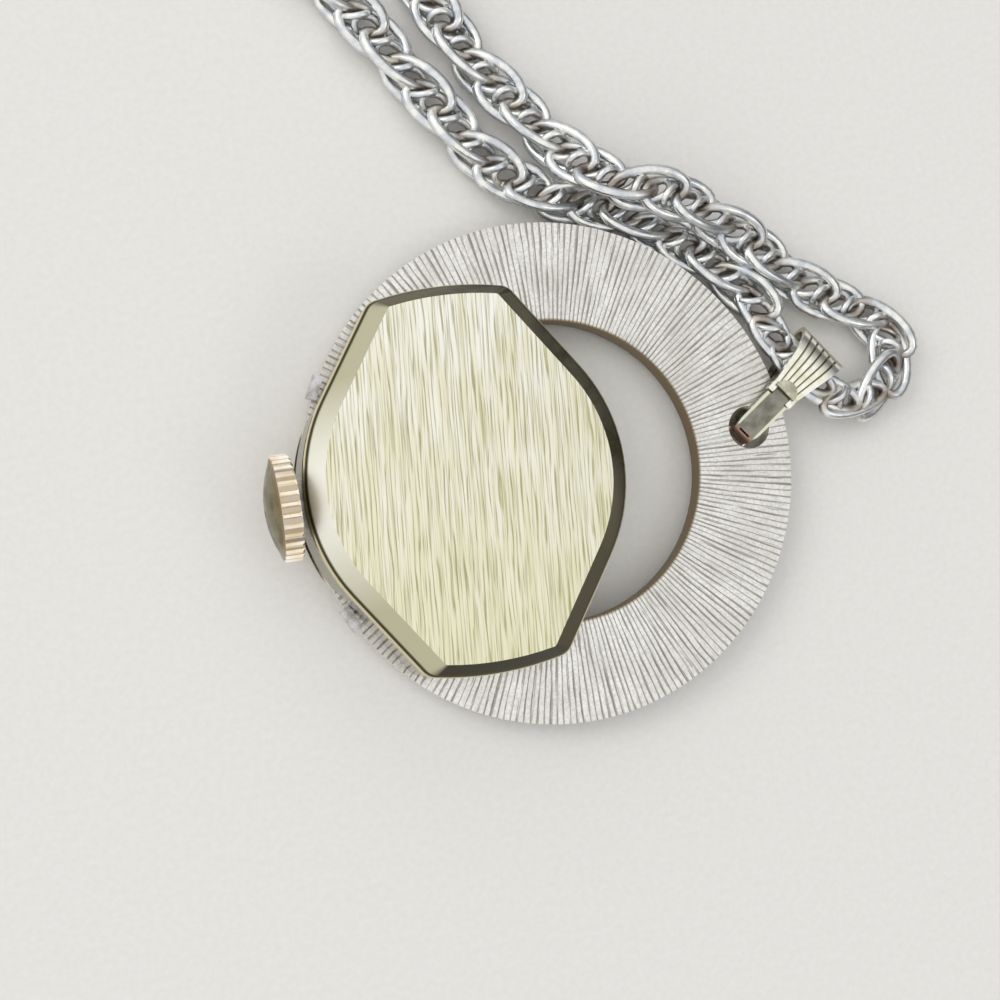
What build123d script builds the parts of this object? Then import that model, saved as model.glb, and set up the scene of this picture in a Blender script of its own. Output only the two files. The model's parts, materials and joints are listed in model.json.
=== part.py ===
from build123d import *
import math
import os

# A pendant watch that lies back up: a flat ring carries the watch head, a snap bail and a rope chain.
# Lengths are in millimetres, angles in degrees, and shares are of the size that they follow.
# While the pieces are made, the ring's centre is at X 0, Y 0 and the floor is Z 0.
# X runs from the crown to the bail, and Y runs along the long axis of the watch head.

# Ring plate
ring_radius = 16.0
ring_band_width = 6.4
ring_thickness = 1.3
lug_gap = 1.42
lug_width = 1.5
lug_reach = 0.4
lug_grip = 0.25
lug_height = 0.7
bail_hole_radius = 1.4
bail_hole_edge = 2.52
bail_hole_angle = 3.9

# Outline of the watch head: two bowed ends, four straight flanks and two round bulges
head_overhang = 0.5
head_half_width = 9.9
bulge_radius = 10.5
corner_half_width = 4.4
corner_height = 11.3
end_rise = 0.5
corner_radius = 1.2
smallest_corner = 0.3
bevel_side = 1.2
bevel_end = 0.8

# Heights of the case, from the crystal's face on the floor up to the back
crystal_stand = 0.35
crystal_window = 0.7
crystal_flange = 0.3
bezel_height = 0.65
body_height = 3.7
band_height = 0.6
bevel_height = 1.3
back_wall = 0.6

# Walls and insets of the case, measured inward from the head's outline
neck_inset = 0.9
cavity_inset = 1.9
bezel_chamfer = 0.6
bezel_opening_inset = 2.7
crystal_pocket_inset = 3.4
back_pocket_inset = 2.45
back_lip_wall = 0.45
back_lip_depth = 0.5
gasket_inset = 1.0
gasket_width = 0.4
gasket_height = 0.3
notch_start = 1.5
notch_length = 3.6
notch_depth = 0.5
notch_height = 0.35

# Clearances
seat_gap = 0.05
shaft_gap = 0.03
wheel_clearance = 0.15
overrun = 1.0

# Dial and hands
dial_gap = 0.9
dial_thickness = 0.4
dial_hole_radius = 0.75
spacer_inset = 3.2
marker_start = 0.5
marker_length = 1.2
marker_width = 0.3
marker_height = 0.15
hand_thickness = 0.12
hand_width = 0.6
hand_tip_width = 0.2
hand_tail = 1.3
hand_boss = 0.3
hour_hand_length = 3.6
hour_hand_drop = 0.5
minute_hand_length = 5.6
minute_hand_drop = 0.95
shown_hour = 10
shown_minute = 10

# Movement plates
movement_gap = 0.1
holder_wall = 0.55
plate_thickness = 1.8
train_space = 1.2
bridge_thickness = 0.8
bridge_wall = 0.7
bridge_parting = 0.15

# Teeth: the counts, the modules and the shares of the pitch or the module
barrel_teeth = 72
centre_pinion_teeth = 10
barrel_module = 0.1
centre_teeth = 64
third_pinion_teeth = 8
centre_module = 0.08
third_teeth = 60
fourth_pinion_teeth = 8
third_module = 0.08
fourth_teeth = 60
escape_pinion_teeth = 6
fourth_module = 0.07
tooth_tip_share = 0.26
tooth_root_share = 0.56
addendum_share = 0.8
dedendum_share = 1.1

# Going train: directions of the wheels, and their heights over the main plate
third_direction = 12.0
fourth_direction = 84.0
escape_direction = 130.0
centre_pinion_rise = -0.7
centre_wheel_rise = 0.35
third_pinion_rise = 0.25
third_wheel_rise = 0.7
fourth_pinion_rise = 0.6
fourth_wheel_rise = 0.95
escape_pinion_rise = 0.75
escape_wheel_rise = 0.1
wheel_thickness = 0.12
pinion_length = 0.4
arbor_radius = 0.13
centre_arbor_radius = 0.25
pivot_depth = 0.3
spoke_hole_share = 0.24
spoke_circle_share = 0.58
escape_teeth = 15
escape_radius = 1.3
escape_heel_share = 0.8
escape_root_share = 0.74

# Barrel and winding work
barrel_drop = 1.0
barrel_height = 1.2
barrel_drum_radius = 3.3
barrel_wall = 0.15
barrel_tooth_rise = -0.65
barrel_tooth_height = 0.3
barrel_arbor_radius = 0.5
ratchet_teeth = 44
crown_wheel_teeth = 31
winding_module = 0.15
winding_wheel_thickness = 0.3
winding_recess = 0.45
crown_wheel_post_radius = 0.5
crown_wheel_head_radius = 0.9
crown_wheel_head_height = 0.2
contrate_radius = 2.1
contrate_width = 0.5
winding_pinion_teeth = 19
winding_pinion_radius = 1.3
winding_pinion_depth = 0.35
winding_pinion_length = 1.1
stem_radius = 0.45
stem_rise = 0.1
stem_pilot_radius = 0.28
stem_pilot_length = 0.5
stem_channel_half_width = 1.45
bush_radius = 0.9
bush_length = 0.7
bush_gap = 0.4
bush_groove_width = 0.25
bush_groove_depth = 0.2

# Crown
crown_radius = 3.25
crown_flutes = 30
crown_flute_depth = 0.17
crown_band = 1.25
crown_bevel = 0.15
crown_dome = 0.6
crown_dome_radius = 2.75
crown_standoff = 0.35
crown_recess_radius = 1.6
crown_recess_depth = 0.25
crown_thread_depth = 0.9
stem_tube_radius = 0.75

# Balance, roller, pallet fork and hairspring
balance_x = -1.5
balance_y = 5.3
balance_radius = 2.35
balance_screw_reach = 0.12
balance_rim_width = 0.35
balance_height = 0.3
balance_rise = 0.65
balance_arm_width = 0.35
balance_screws = 10
balance_screw_radius = 0.12
roller_radius = 0.4
roller_rise = 0.3
roller_thickness = 0.15
pallet_distance = 1.75
pallet_heading = 143.4
pallet_rise = 0.1
pallet_thickness = 0.15
pallet_hub_radius = 0.3
pallet_lever_width = 0.28
pallet_lever_gap = 0.05
pallet_arm_angle = 62.0
pallet_arm_length = 0.9
pallet_arm_width = 0.2
pallet_cock_rise = 0.35
pallet_cock_thickness = 0.2
pallet_cock_radius = 0.45
pallet_cock_foot = 1.3
pallet_cock_heading = 62.0
cock_half_width = 0.8
hairspring_turns = 4.5
hairspring_pitch = 0.2
hairspring_start = 0.45
hairspring_strip = 0.06
hairspring_height = 0.08
hairspring_rise = 0.06
hairspring_stud_radius = 0.12

# Motion work under the dial
motion_recess_depth = 0.5
cannon_teeth = 12
minute_wheel_teeth = 36
motion_module = 0.1
minute_pinion_teeth = 10
hour_teeth = 40
cannon_radius = 0.45
cannon_tooth_rise = 0.22
cannon_tooth_height = 0.25
minute_wheel_rise = 0.28
hour_tube_radius = 0.65

# Jewels and bridge screws
jewel_radius = 0.4
jewel_hole_radius = 0.13
jewel_depth = 0.3
screw_head_radius = 0.55
screw_head_height = 0.25
screw_slot_width = 0.12
screw_slot_depth = 0.1
screw_place_shares = [(0.54, -0.23), (-0.46, -0.37), (0.22, 0.64), (0.61, 0.13), (-0.39, 0.47)]

# Bail: a folded strap that widens like a fan round the chain
bail_heading = 37.1
bail_floor_gap = 0.05
bail_leaf = 0.35
bail_chain_place = 5.6
bail_inner_radius = 1.65
bail_slope = 14.0
bail_leaf_start = 3.2
bail_strap_half_width = 0.85
bail_base_half_width = 1.0
bail_top_half_width = 1.83
bail_neck = 0.25
bail_tip_reach = 0.75
bail_flutes = 5
bail_flute_width = 0.15
bail_flute_depth = 0.12
bail_pin_place = 2.8
bail_pin_height = 3.05
bail_pin_radius = 0.15
bail_ear_radius = 0.35
bail_knuckle_radius = 0.33
bail_knuckle_half_width = 0.55
tab_radius = 0.8
tab_thickness = 0.12
tab_overhang = 0.22
tongue_thickness = 0.32
tongue_root = 0.45
tongue_bend_height = 2.45
tongue_bend_chamfer = 0.4
tongue_tip_half_width = 0.7
tongue_window_half_width = 0.42
tongue_window_height = 0.22
tongue_window_drop = 0.25

# Chain: its envelope is a tube, and the coil winds in, climbs a layer and winds out
chain_radius = 1.35
chain_rest = 1.4
run_share = 0.45
coil_outer_radius = 20.9
coil_step = 1.7
coil_inward_halves = 6
coil_outward_halves = 2
coil_layer_rise = 3.25

# Route of the free chain, from its end ring through the bail to the coil
chain_route = [
    (-4.2, 34.4, chain_rest),
    (-2.3, 31.2, chain_rest),
    (0.0, 28.2, chain_rest),
    (2.0, 25.0, chain_rest),
    (3.9, 21.6, 2.7),
    (6.2, 18.6, 4.5),
    (10.0, 17.9, 3.3),
    (13.6, 16.0, 1.6),
    (16.2, 13.7, chain_rest),
    (18.5, 10.8, chain_rest),
    (20.9, 8.7, chain_rest),
    (24.55, 7.28, chain_rest),
    (25.31, 4.07, chain_rest),
    (23.25, 1.49, 1.6),
    (19.95, 1.53, 2.05),
    (16.5, 6.0, 2.05),
    (15.0, 9.3, 1.6),
    (12.9, 12.3, chain_rest),
    (10.1, 14.85, chain_rest),
    (6.9, 16.8, chain_rest),
    (1.9, 18.1, chain_rest),
    (-0.7, 20.6, chain_rest),
    (-3.1, 24.1, chain_rest),
    (-5.7, 27.4, chain_rest),
    (-8.3, 31.5, chain_rest),
    (-11.3, 35.6, chain_rest),
    (-13.8, 40.2, chain_rest),
    (-15.7, 45.2, chain_rest),
    (-16.7, 50.2, chain_rest),
    (-16.7, 55.0, chain_rest),
]

# Chain ends: a plain end ring, and a jump ring with a spring ring clasp
end_ring_radius = 1.9
end_ring_wire = 0.4
end_ring_bite = 0.7
jump_ring_radius = 1.3
jump_ring_wire = 0.3
jump_ring_bite = 0.6
clasp_radius = 2.4
clasp_tube_radius = 0.75
clasp_bore_radius = 0.48
clasp_pin_radius = 0.42
clasp_eye_radius = 0.9
clasp_eye_wire = 0.22
clasp_eye_reach = 3.75
clasp_gap_angle = 100.0
clasp_gap_turn = 55.0
clasp_pin_entry = 10.0
clasp_pin_tail = 22.0
clasp_travel = 66.0
clasp_slot_half_height = 0.21
clasp_slot_margin = 5.0
clasp_knob_radius = 0.16
clasp_knob_reach = 1.2

# Heights that follow from the stack
crystal_seat = crystal_stand + bezel_height
ring_bottom = crystal_seat
ring_top = ring_bottom + ring_thickness
dial_bottom = crystal_seat + crystal_flange + dial_gap
plate_bottom = dial_bottom + dial_thickness
plate_top = plate_bottom + plate_thickness
bridge_bottom = plate_top + train_space
bridge_top = bridge_bottom + bridge_thickness
body_top = ring_top + body_height
band_top = body_top + band_height
back_top = band_top + bevel_height
stem_height = plate_top + stem_rise
recess_top = plate_bottom + motion_recess_depth
lip_inset = cavity_inset + seat_gap
movement_inset = lip_inset + holder_wall + movement_gap


def polar(radius, angle):
    """The point of the plane at this radius and angle."""
    return Vector(radius * math.cos(math.radians(angle)), radius * math.sin(math.radians(angle)))


def heading(point):
    """The direction of a point from the centre, in degrees."""
    return math.degrees(math.atan2(point.Y, point.X))


def mesh_distance(module, teeth, other_teeth):
    """The distance between the axes of two gears that mesh."""
    return module * (teeth + other_teeth) / 2


# Places of the wheels, from the centre of the watch
centre_place = Vector(0, 0)
barrel_distance = mesh_distance(barrel_module, barrel_teeth, centre_pinion_teeth)
winding_distance = mesh_distance(winding_module, ratchet_teeth, crown_wheel_teeth)
crown_wheel_x = -(crown_wheel_post_radius + centre_module * centre_teeth / 2 + 2 * wheel_clearance)
barrel_x = (barrel_distance**2 - winding_distance**2 + crown_wheel_x**2) / (2 * crown_wheel_x)
barrel_place = Vector(barrel_x, -math.sqrt(barrel_distance**2 - barrel_x**2))
crown_wheel_place = Vector(crown_wheel_x, 0)
third_place = polar(mesh_distance(centre_module, centre_teeth, third_pinion_teeth), third_direction)
third_to_fourth = polar(mesh_distance(third_module, third_teeth, fourth_pinion_teeth), fourth_direction)
fourth_to_escape = polar(mesh_distance(fourth_module, fourth_teeth, escape_pinion_teeth), escape_direction)
fourth_place = third_place + third_to_fourth
escape_place = fourth_place + fourth_to_escape
pallet_place = escape_place + polar(pallet_distance, pallet_heading)
balance_place = Vector(balance_x, balance_y)
minute_wheel_place = Vector(0, mesh_distance(motion_module, cannon_teeth, minute_wheel_teeth))
hour_module = 2 * minute_wheel_place.Y / (minute_pinion_teeth + hour_teeth)

# Places along the stem, from the centre of the watch
pinion_middle = crown_wheel_x - contrate_radius
pinion_start = pinion_middle - winding_pinion_length / 2
pinion_stop = pinion_middle + winding_pinion_length / 2
channel_stop = pinion_stop + bush_gap
pilot_stop = channel_stop + stem_pilot_length
bush_stop = pinion_start - bush_gap
crown_start = -head_half_width - crown_standoff
winding_bottom = bridge_top - winding_recess
winding_top = winding_bottom + winding_wheel_thickness
winding_tip = winding_module * (crown_wheel_teeth / 2 + addendum_share)
parting_x = -jewel_radius - 3 * bridge_parting
parting_y = -jewel_radius - 2 * bridge_parting
cock_parting_y = winding_tip + 2 * wheel_clearance


def head_outline(side_inset, end_inset=None):
    """The head's outline, moved inward by one inset at its flanks and one at its ends."""
    end_inset = side_inset if end_inset is None else end_inset
    centre_x = head_half_width - bulge_radius
    reach = math.hypot(corner_half_width - centre_x, corner_height)
    turn = math.atan2(corner_height, corner_half_width - centre_x) - math.acos(bulge_radius / reach)
    bulge = bulge_radius - side_inset
    touch = Vector(centre_x + bulge * math.cos(turn), bulge * math.sin(turn))
    along = Vector(-math.sin(turn), math.cos(turn))
    end_bow = (corner_half_width**2 + end_rise**2) / (2 * end_rise)
    bow_centre = Vector(0, corner_height + end_rise - end_bow)
    offset = touch - bow_centre
    half = along.dot(offset)
    bow = end_bow - end_inset
    corner = touch + along * (math.sqrt(half**2 - offset.length**2 + bow**2) - half)
    side = centre_x + bulge
    end = corner_height + end_rise - end_inset
    edges = [
        ThreePointArc((-corner.X, corner.Y), (0, end), (corner.X, corner.Y)),
        Line((corner.X, corner.Y), (touch.X, touch.Y)),
        ThreePointArc((touch.X, touch.Y), (side, 0), (touch.X, -touch.Y)),
        Line((touch.X, -touch.Y), (corner.X, -corner.Y)),
        ThreePointArc((corner.X, -corner.Y), (0, -end), (-corner.X, -corner.Y)),
        Line((-corner.X, -corner.Y), (-touch.X, -touch.Y)),
        ThreePointArc((-touch.X, -touch.Y), (-side, 0), (-touch.X, touch.Y)),
        Line((-touch.X, touch.Y), (-corner.X, corner.Y)),
    ]
    face = make_face(edges)
    corners = [vertex for vertex in face.vertices() if abs(vertex.Y) > (corner.Y + touch.Y) / 2]
    return fillet(corners, max(corner_radius - side_inset, smallest_corner))


def slab(face, bottom, top):
    """A face of the plane, raised between two heights."""
    return extrude(Pos(0, 0, bottom) * face, amount=top - bottom)


def plate(inset, bottom, top):
    """A plate with the head's outline."""
    return slab(head_outline(inset), bottom, top)


def frame(outer_inset, inner_inset, bottom, top):
    """A wall that follows the head's outline between two insets."""
    return plate(outer_inset, bottom, top) - plate(inner_inset, bottom - overrun, top + overrun)


def disc(place, radius, bottom, top):
    """A round piece on a vertical axis."""
    return Pos(place.X, place.Y, (bottom + top) / 2) * Cylinder(radius, top - bottom)


def block(low, high):
    """A box between two corners."""
    middle = [(a + b) / 2 for a, b in zip(low, high)]
    size = [b - a for a, b in zip(low, high)]
    return Pos(*middle) * Box(*size)


def rod(radius, start, stop):
    """A round rod on the stem's axis, between two places along X."""
    return Pos((start + stop) / 2, 0, stem_height) * Rot(0, 90, 0) * Cylinder(radius, stop - start)


def bar(start, end, width):
    """The face of a bar with round ends."""
    reach = end - start
    slot = SlotCenterToCenter(reach.length, width)
    return Pos(start.X, start.Y) * Rot(0, 0, heading(reach)) * Pos(reach.length / 2, 0) * slot


def toothed_face(teeth, tip_radius, root_radius, turn=0.0):
    """A wheel's face with tapered teeth, the first one at the given angle."""
    pitch = 360 / teeth
    tip = pitch * tooth_tip_share / 2
    root = pitch * tooth_root_share / 2
    points = []
    for tooth in range(teeth):
        middle = turn + tooth * pitch
        points.append(polar(root_radius, middle - root))
        points.append(polar(tip_radius, middle - tip))
        points.append(polar(tip_radius, middle + tip))
        points.append(polar(root_radius, middle + root))
    return make_face(Polyline(*points, close=True))


def gear_face(teeth, module, turn):
    """A gear's face with a tooth at the given angle."""
    pitch_radius = module * teeth / 2
    tip_radius = pitch_radius + addendum_share * module
    return toothed_face(teeth, tip_radius, pitch_radius - dedendum_share * module, turn)


def gap_face(teeth, module, direction):
    """A gear's face with a gap between two teeth in this direction."""
    return gear_face(teeth, module, direction + 180 / teeth)


def spoked(face, radius):
    """A wheel's face with four round holes between its rim and its hub."""
    for index in range(4):
        centre = polar(radius * spoke_circle_share, 45 + 90 * index)
        face -= Pos(centre.X, centre.Y) * Circle(radius * spoke_hole_share)
    return face


def raised(face, rise, height):
    """A face raised from a height over the main plate."""
    return slab(face, plate_top + rise, plate_top + rise + height)


def wheel_set(wheel, wheel_rise, pinion, pinion_rise):
    """A wheel, its pinion and their arbor with its upper pivot, on the centre's axis."""
    shoulder = bridge_bottom - shaft_gap
    piece = raised(wheel, wheel_rise, wheel_thickness) + raised(pinion, pinion_rise, pinion_length)
    piece += disc(centre_place, arbor_radius, plate_top - pivot_depth, shoulder)
    return piece + disc(centre_place, jewel_hole_radius - shaft_gap, shoulder, bridge_bottom + jewel_depth)


def placed(place, piece):
    """A piece moved to its place in the watch."""
    return Pos(place.X, place.Y, 0) * piece


# Ring plate and its two lugs, which stand where the rim comes out from under the head
head_offset = ring_radius + head_overhang - head_half_width
bail_hole = polar(ring_radius - bail_hole_edge, bail_hole_angle)
rim_reach = ring_radius - seat_gap


def ring_plate():
    ring = disc(centre_place, ring_radius, ring_bottom, ring_top)
    bore_radius = ring_radius - ring_band_width
    ring -= disc(centre_place, bore_radius, ring_bottom - overrun, ring_top + overrun)
    ring -= Pos(-head_offset, 0, 0) * plate(neck_inset - seat_gap, ring_bottom - overrun, ring_top + overrun)
    return ring - disc(bail_hole, bail_hole_radius, ring_bottom - overrun, ring_top + overrun)


def ring_lug(side):
    under_head = Circle(ring_radius) & Pos(-head_offset, 0, 0) * head_outline(0)
    crossings = [corner for corner in under_head.vertices() if Vector(corner).length > rim_reach]
    rim_height = max(corner.Y for corner in crossings)
    turn = math.asin(rim_height / ring_radius) + (lug_gap + lug_width / 2) / ring_radius
    low = (ring_radius - lug_grip, -lug_width / 2, ring_top)
    high = (ring_radius + lug_reach, lug_width / 2, ring_top + lug_height)
    return Rot(0, 0, 180 - side * math.degrees(turn)) * block(low, high)


# Case
def case_body():
    body = plate(0, ring_top, body_top) + plate(neck_inset, ring_bottom, ring_top)
    body -= plate(cavity_inset, ring_bottom - overrun, body_top + overrun)
    body -= frame(gasket_inset, gasket_inset + gasket_width, body_top - gasket_height, body_top + overrun)
    return body - rod(stem_tube_radius, -head_half_width - overrun, cavity_inset - head_half_width + overrun)


def stem_tube():
    outer = plate(0, ring_bottom, body_top) - plate(cavity_inset, ring_bottom - overrun, body_top + overrun)
    tube = rod(stem_tube_radius, -head_half_width - overrun, cavity_inset - head_half_width + overrun) & outer
    return tube - rod(stem_radius + shaft_gap, -head_half_width - overrun, -head_half_width / 2)


def back_gasket():
    return frame(gasket_inset, gasket_inset + gasket_width, body_top - gasket_height, body_top)


def case_back():
    rim = Pos(0, 0, band_top) * head_outline(0)
    face = Pos(0, 0, back_top) * head_outline(bevel_side, bevel_end)
    shell = plate(0, body_top, band_top) + loft([rim, face], ruled=True)
    shell -= plate(back_pocket_inset, body_top - overrun, back_top - back_wall)
    shell += frame(lip_inset, lip_inset + back_lip_wall, body_top - back_lip_depth, body_top)
    notch_top = body_top + notch_height
    notch = plate(-overrun, body_top, notch_top) - plate(notch_depth, body_top - overrun, band_top)
    low = (-head_half_width - overrun, notch_start, body_top - overrun)
    return shell - (notch & block(low, (0, notch_start + notch_length, notch_top)))


def bezel():
    front = Pos(0, 0, crystal_stand) * head_outline(bezel_chamfer)
    rear = Pos(0, 0, crystal_seat) * head_outline(0)
    return loft([front, rear], ruled=True) - plate(bezel_opening_inset, 0, crystal_seat + overrun)


def crystal():
    window = plate(bezel_opening_inset + seat_gap, 0, crystal_seat)
    window += plate(lip_inset, crystal_seat, crystal_seat + crystal_flange)
    return window - plate(crystal_pocket_inset, crystal_window, crystal_seat + overrun)


def dial_spacer():
    return frame(lip_inset, spacer_inset, crystal_seat + crystal_flange, dial_bottom)


def dial():
    hole = disc(centre_place, dial_hole_radius, dial_bottom - overrun, plate_bottom + overrun)
    return plate(lip_inset, dial_bottom, plate_bottom) - hole


def hour_markers():
    start = spacer_inset + marker_start
    band = frame(start, start + marker_length, dial_bottom - marker_height, dial_bottom)
    low = (0, -marker_width / 2, dial_bottom - overrun)
    high = (corner_height + overrun, marker_width / 2, dial_bottom + overrun)
    bars = [(band & Rot(0, 0, 30 * hour) * block(low, high)).solid() for hour in range(12)]
    return Compound(bars)


def movement_holder():
    top = body_top - back_lip_depth - seat_gap
    holder = frame(lip_inset, lip_inset + holder_wall, plate_bottom, top)
    low = (-head_half_width, -stem_channel_half_width, stem_height - bush_radius - seat_gap)
    return holder - block(low, (0, stem_channel_half_width, top + overrun))


# Plates and bridges of the movement
def winding_channel():
    """The room of the winding pinion and the stem bush, open towards the crown."""
    low = (-head_half_width, -stem_channel_half_width, stem_height - winding_pinion_radius - wheel_clearance)
    high = (channel_stop, stem_channel_half_width, stem_height + winding_pinion_radius + wheel_clearance)
    return block(low, high)


def gear_room(place, module, teeth, bottom, top):
    """The round room of a gear."""
    return disc(place, module * (teeth / 2 + addendum_share) + wheel_clearance, bottom, top)


def main_plate():
    base = plate(movement_inset, plate_bottom, plate_top)
    above = plate_top + overrun
    below = plate_bottom - overrun
    barrel_floor = plate_top - barrel_drop - seat_gap
    base -= gear_room(barrel_place, barrel_module, barrel_teeth, barrel_floor, above)
    base -= gear_room(centre_place, barrel_module, centre_pinion_teeth, barrel_floor, above)
    base -= disc(barrel_place, barrel_arbor_radius + shaft_gap, barrel_floor - pivot_depth / 2, above)
    base -= disc(centre_place, centre_arbor_radius + shaft_gap, below, above)
    base -= gear_room(centre_place, hour_module, hour_teeth, below, recess_top)
    base -= gear_room(minute_wheel_place, motion_module, minute_wheel_teeth, below, recess_top)
    base -= winding_channel()
    base -= rod(stem_pilot_radius + shaft_gap, channel_stop - overrun, pilot_stop + seat_gap)
    for place in (third_place, fourth_place, escape_place, pallet_place, balance_place):
        base -= disc(place, arbor_radius + shaft_gap, plate_top - pivot_depth - seat_gap, above)
    return base + disc(minute_wheel_place, arbor_radius, plate_bottom, recess_top)


def bridge_blank(low_x, low_y, high_x, high_y):
    """A bridge with its wall down to the main plate, over one part of the movement."""
    blank = plate(movement_inset, bridge_bottom, bridge_top)
    blank += frame(movement_inset, movement_inset + bridge_wall, plate_top, bridge_bottom)
    return blank & block((low_x, low_y, plate_top), (high_x, high_y, bridge_top))


def barrel_bridge():
    bridge = bridge_blank(-head_half_width, -corner_height, head_half_width, parting_y)
    bridge += bridge_blank(-head_half_width, parting_y, parting_x, cock_parting_y)
    bridge -= winding_channel()
    above = bridge_top + overrun
    bridge -= gear_room(barrel_place, winding_module, ratchet_teeth, winding_bottom - seat_gap, above)
    bridge -= gear_room(crown_wheel_place, winding_module, crown_wheel_teeth, plate_top, above)
    return bridge - disc(barrel_place, barrel_arbor_radius + shaft_gap, plate_top, above)


def jewel_seat(place):
    """The seat of a jewel and the oil hole over it."""
    seat = disc(place, jewel_radius, bridge_bottom - overrun, bridge_bottom + jewel_depth)
    return seat + disc(place, jewel_hole_radius, bridge_bottom, bridge_top + overrun)


def train_bridge():
    low_x = parting_x + bridge_parting
    bridge = bridge_blank(low_x, parting_y + bridge_parting, head_half_width, corner_height)
    for place in (centre_place, third_place, fourth_place, escape_place):
        bridge -= jewel_seat(place)
    return bridge


def balance_cock():
    low_y = cock_parting_y + bridge_parting
    cock = bridge_blank(-head_half_width, low_y, parting_x, corner_height)
    cock -= plate(movement_inset + bridge_wall, plate_top - overrun, bridge_top + overrun)
    arm_low = (-head_half_width, balance_y - cock_half_width, bridge_bottom)
    arm_high = (parting_x, balance_y + cock_half_width, bridge_top)
    cock += plate(movement_inset, bridge_bottom, bridge_top) & block(arm_low, arm_high)
    return cock - jewel_seat(balance_place)


def pallet_cock():
    low = plate_top + pallet_cock_rise
    high = low + pallet_cock_thickness
    foot = pallet_place + polar(pallet_cock_foot, pallet_cock_heading)
    cock = slab(bar(pallet_place, foot, 2 * pallet_cock_radius), low, high)
    cock += disc(foot, pallet_cock_radius, plate_top, low)
    return cock - disc(pallet_place, jewel_hole_radius, low - overrun, high + overrun)


def jewels():
    rings = []
    for place in (centre_place, third_place, fourth_place, escape_place, balance_place):
        ring = disc(place, jewel_radius, bridge_bottom, bridge_bottom + jewel_depth)
        rings.append((ring - disc(place, jewel_hole_radius, plate_top, bridge_top)).solid())
    return Compound(rings)


def bridge_screws():
    screws = []
    for x_share, y_share in screw_place_shares:
        place = Vector(x_share * head_half_width, y_share * corner_height)
        head = disc(place, screw_head_radius, bridge_top, bridge_top + screw_head_height)
        slot = Box(3 * screw_head_radius, screw_slot_width, 2 * screw_slot_depth)
        screws.append((head - Pos(place.X, place.Y, bridge_top + screw_head_height) * slot).solid())
    return Compound(screws)


# Going train
def mainspring_barrel():
    bottom = plate_top - barrel_drop
    top = bottom + barrel_height
    teeth = gear_face(barrel_teeth, barrel_module, heading(-barrel_place))
    drum = disc(centre_place, barrel_drum_radius, bottom, top)
    drum += raised(teeth, barrel_tooth_rise, barrel_tooth_height)
    inside = barrel_drum_radius - 2 * barrel_wall
    drum -= disc(centre_place, inside, bottom + barrel_wall, top - barrel_wall)
    return placed(barrel_place, drum - disc(centre_place, barrel_arbor_radius + shaft_gap, 0, bridge_top))


def centre_wheel():
    wheel = spoked(gear_face(centre_teeth, centre_module, third_direction), centre_module * centre_teeth / 2)
    pinion = gap_face(centre_pinion_teeth, barrel_module, heading(barrel_place))
    piece = wheel_set(wheel, centre_wheel_rise, pinion, centre_pinion_rise)
    arbor_bottom = dial_bottom - minute_hand_drop
    return piece + disc(centre_place, centre_arbor_radius, arbor_bottom, bridge_bottom - shaft_gap)


def third_wheel():
    wheel = spoked(gear_face(third_teeth, third_module, fourth_direction), third_module * third_teeth / 2)
    pinion = gap_face(third_pinion_teeth, centre_module, third_direction + 180)
    return placed(third_place, wheel_set(wheel, third_wheel_rise, pinion, third_pinion_rise))


def fourth_wheel():
    wheel = spoked(gear_face(fourth_teeth, fourth_module, escape_direction), fourth_module * fourth_teeth / 2)
    pinion = gap_face(fourth_pinion_teeth, third_module, fourth_direction + 180)
    return placed(fourth_place, wheel_set(wheel, fourth_wheel_rise, pinion, fourth_pinion_rise))


def escape_wheel():
    pitch = 360 / escape_teeth
    points = []
    for tooth in range(escape_teeth):
        points.append(polar(escape_radius, tooth * pitch))
        points.append(polar(escape_radius * escape_heel_share, tooth * pitch + pitch / 6))
        points.append(polar(escape_radius * escape_root_share, tooth * pitch + pitch * 2 / 3))
    wheel = make_face(Polyline(*points, close=True))
    pinion = gap_face(escape_pinion_teeth, fourth_module, escape_direction + 180)
    return placed(escape_place, wheel_set(wheel, escape_wheel_rise, pinion, escape_pinion_rise))


def pallet_fork():
    to_balance = balance_place - pallet_place
    reach = to_balance.length - roller_radius - pallet_lever_gap - pallet_lever_width / 2
    face = bar(centre_place, polar(reach, heading(to_balance)), pallet_lever_width)
    face += Circle(pallet_hub_radius)
    for side in (-1, 1):
        arm_heading = pallet_heading + 180 + side * pallet_arm_angle
        face += bar(centre_place, polar(pallet_arm_length, arm_heading), pallet_arm_width)
    shoulder = plate_top + pallet_cock_rise - shaft_gap
    pivot_top = plate_top + pallet_cock_rise + pallet_cock_thickness
    fork = raised(face, pallet_rise, pallet_thickness)
    fork += disc(centre_place, arbor_radius, plate_top - pivot_depth, shoulder)
    return placed(pallet_place, fork + disc(centre_place, jewel_hole_radius - shaft_gap, shoulder, pivot_top))


def balance_wheel():
    rim_radius = balance_radius - balance_screw_reach
    face = Circle(rim_radius) - Circle(rim_radius - balance_rim_width)
    face += Rectangle(2 * rim_radius - balance_rim_width, balance_arm_width)
    wheel = raised(face, balance_rise, balance_height)
    middle = plate_top + balance_rise + balance_height / 2
    screw = Rot(0, 90, 0) * Cylinder(balance_screw_radius, 2 * balance_screw_reach)
    for index in range(balance_screws):
        wheel += Rot(0, 0, (index + 0.5) * 360 / balance_screws) * Pos(rim_radius, 0, middle) * screw
    shoulder = bridge_bottom - shaft_gap
    wheel += raised(Circle(roller_radius), roller_rise, roller_thickness)
    wheel += disc(centre_place, arbor_radius, plate_top - pivot_depth, shoulder)
    pivot = disc(centre_place, jewel_hole_radius - shaft_gap, shoulder, bridge_bottom + jewel_depth)
    return placed(balance_place, wheel + pivot)


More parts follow.
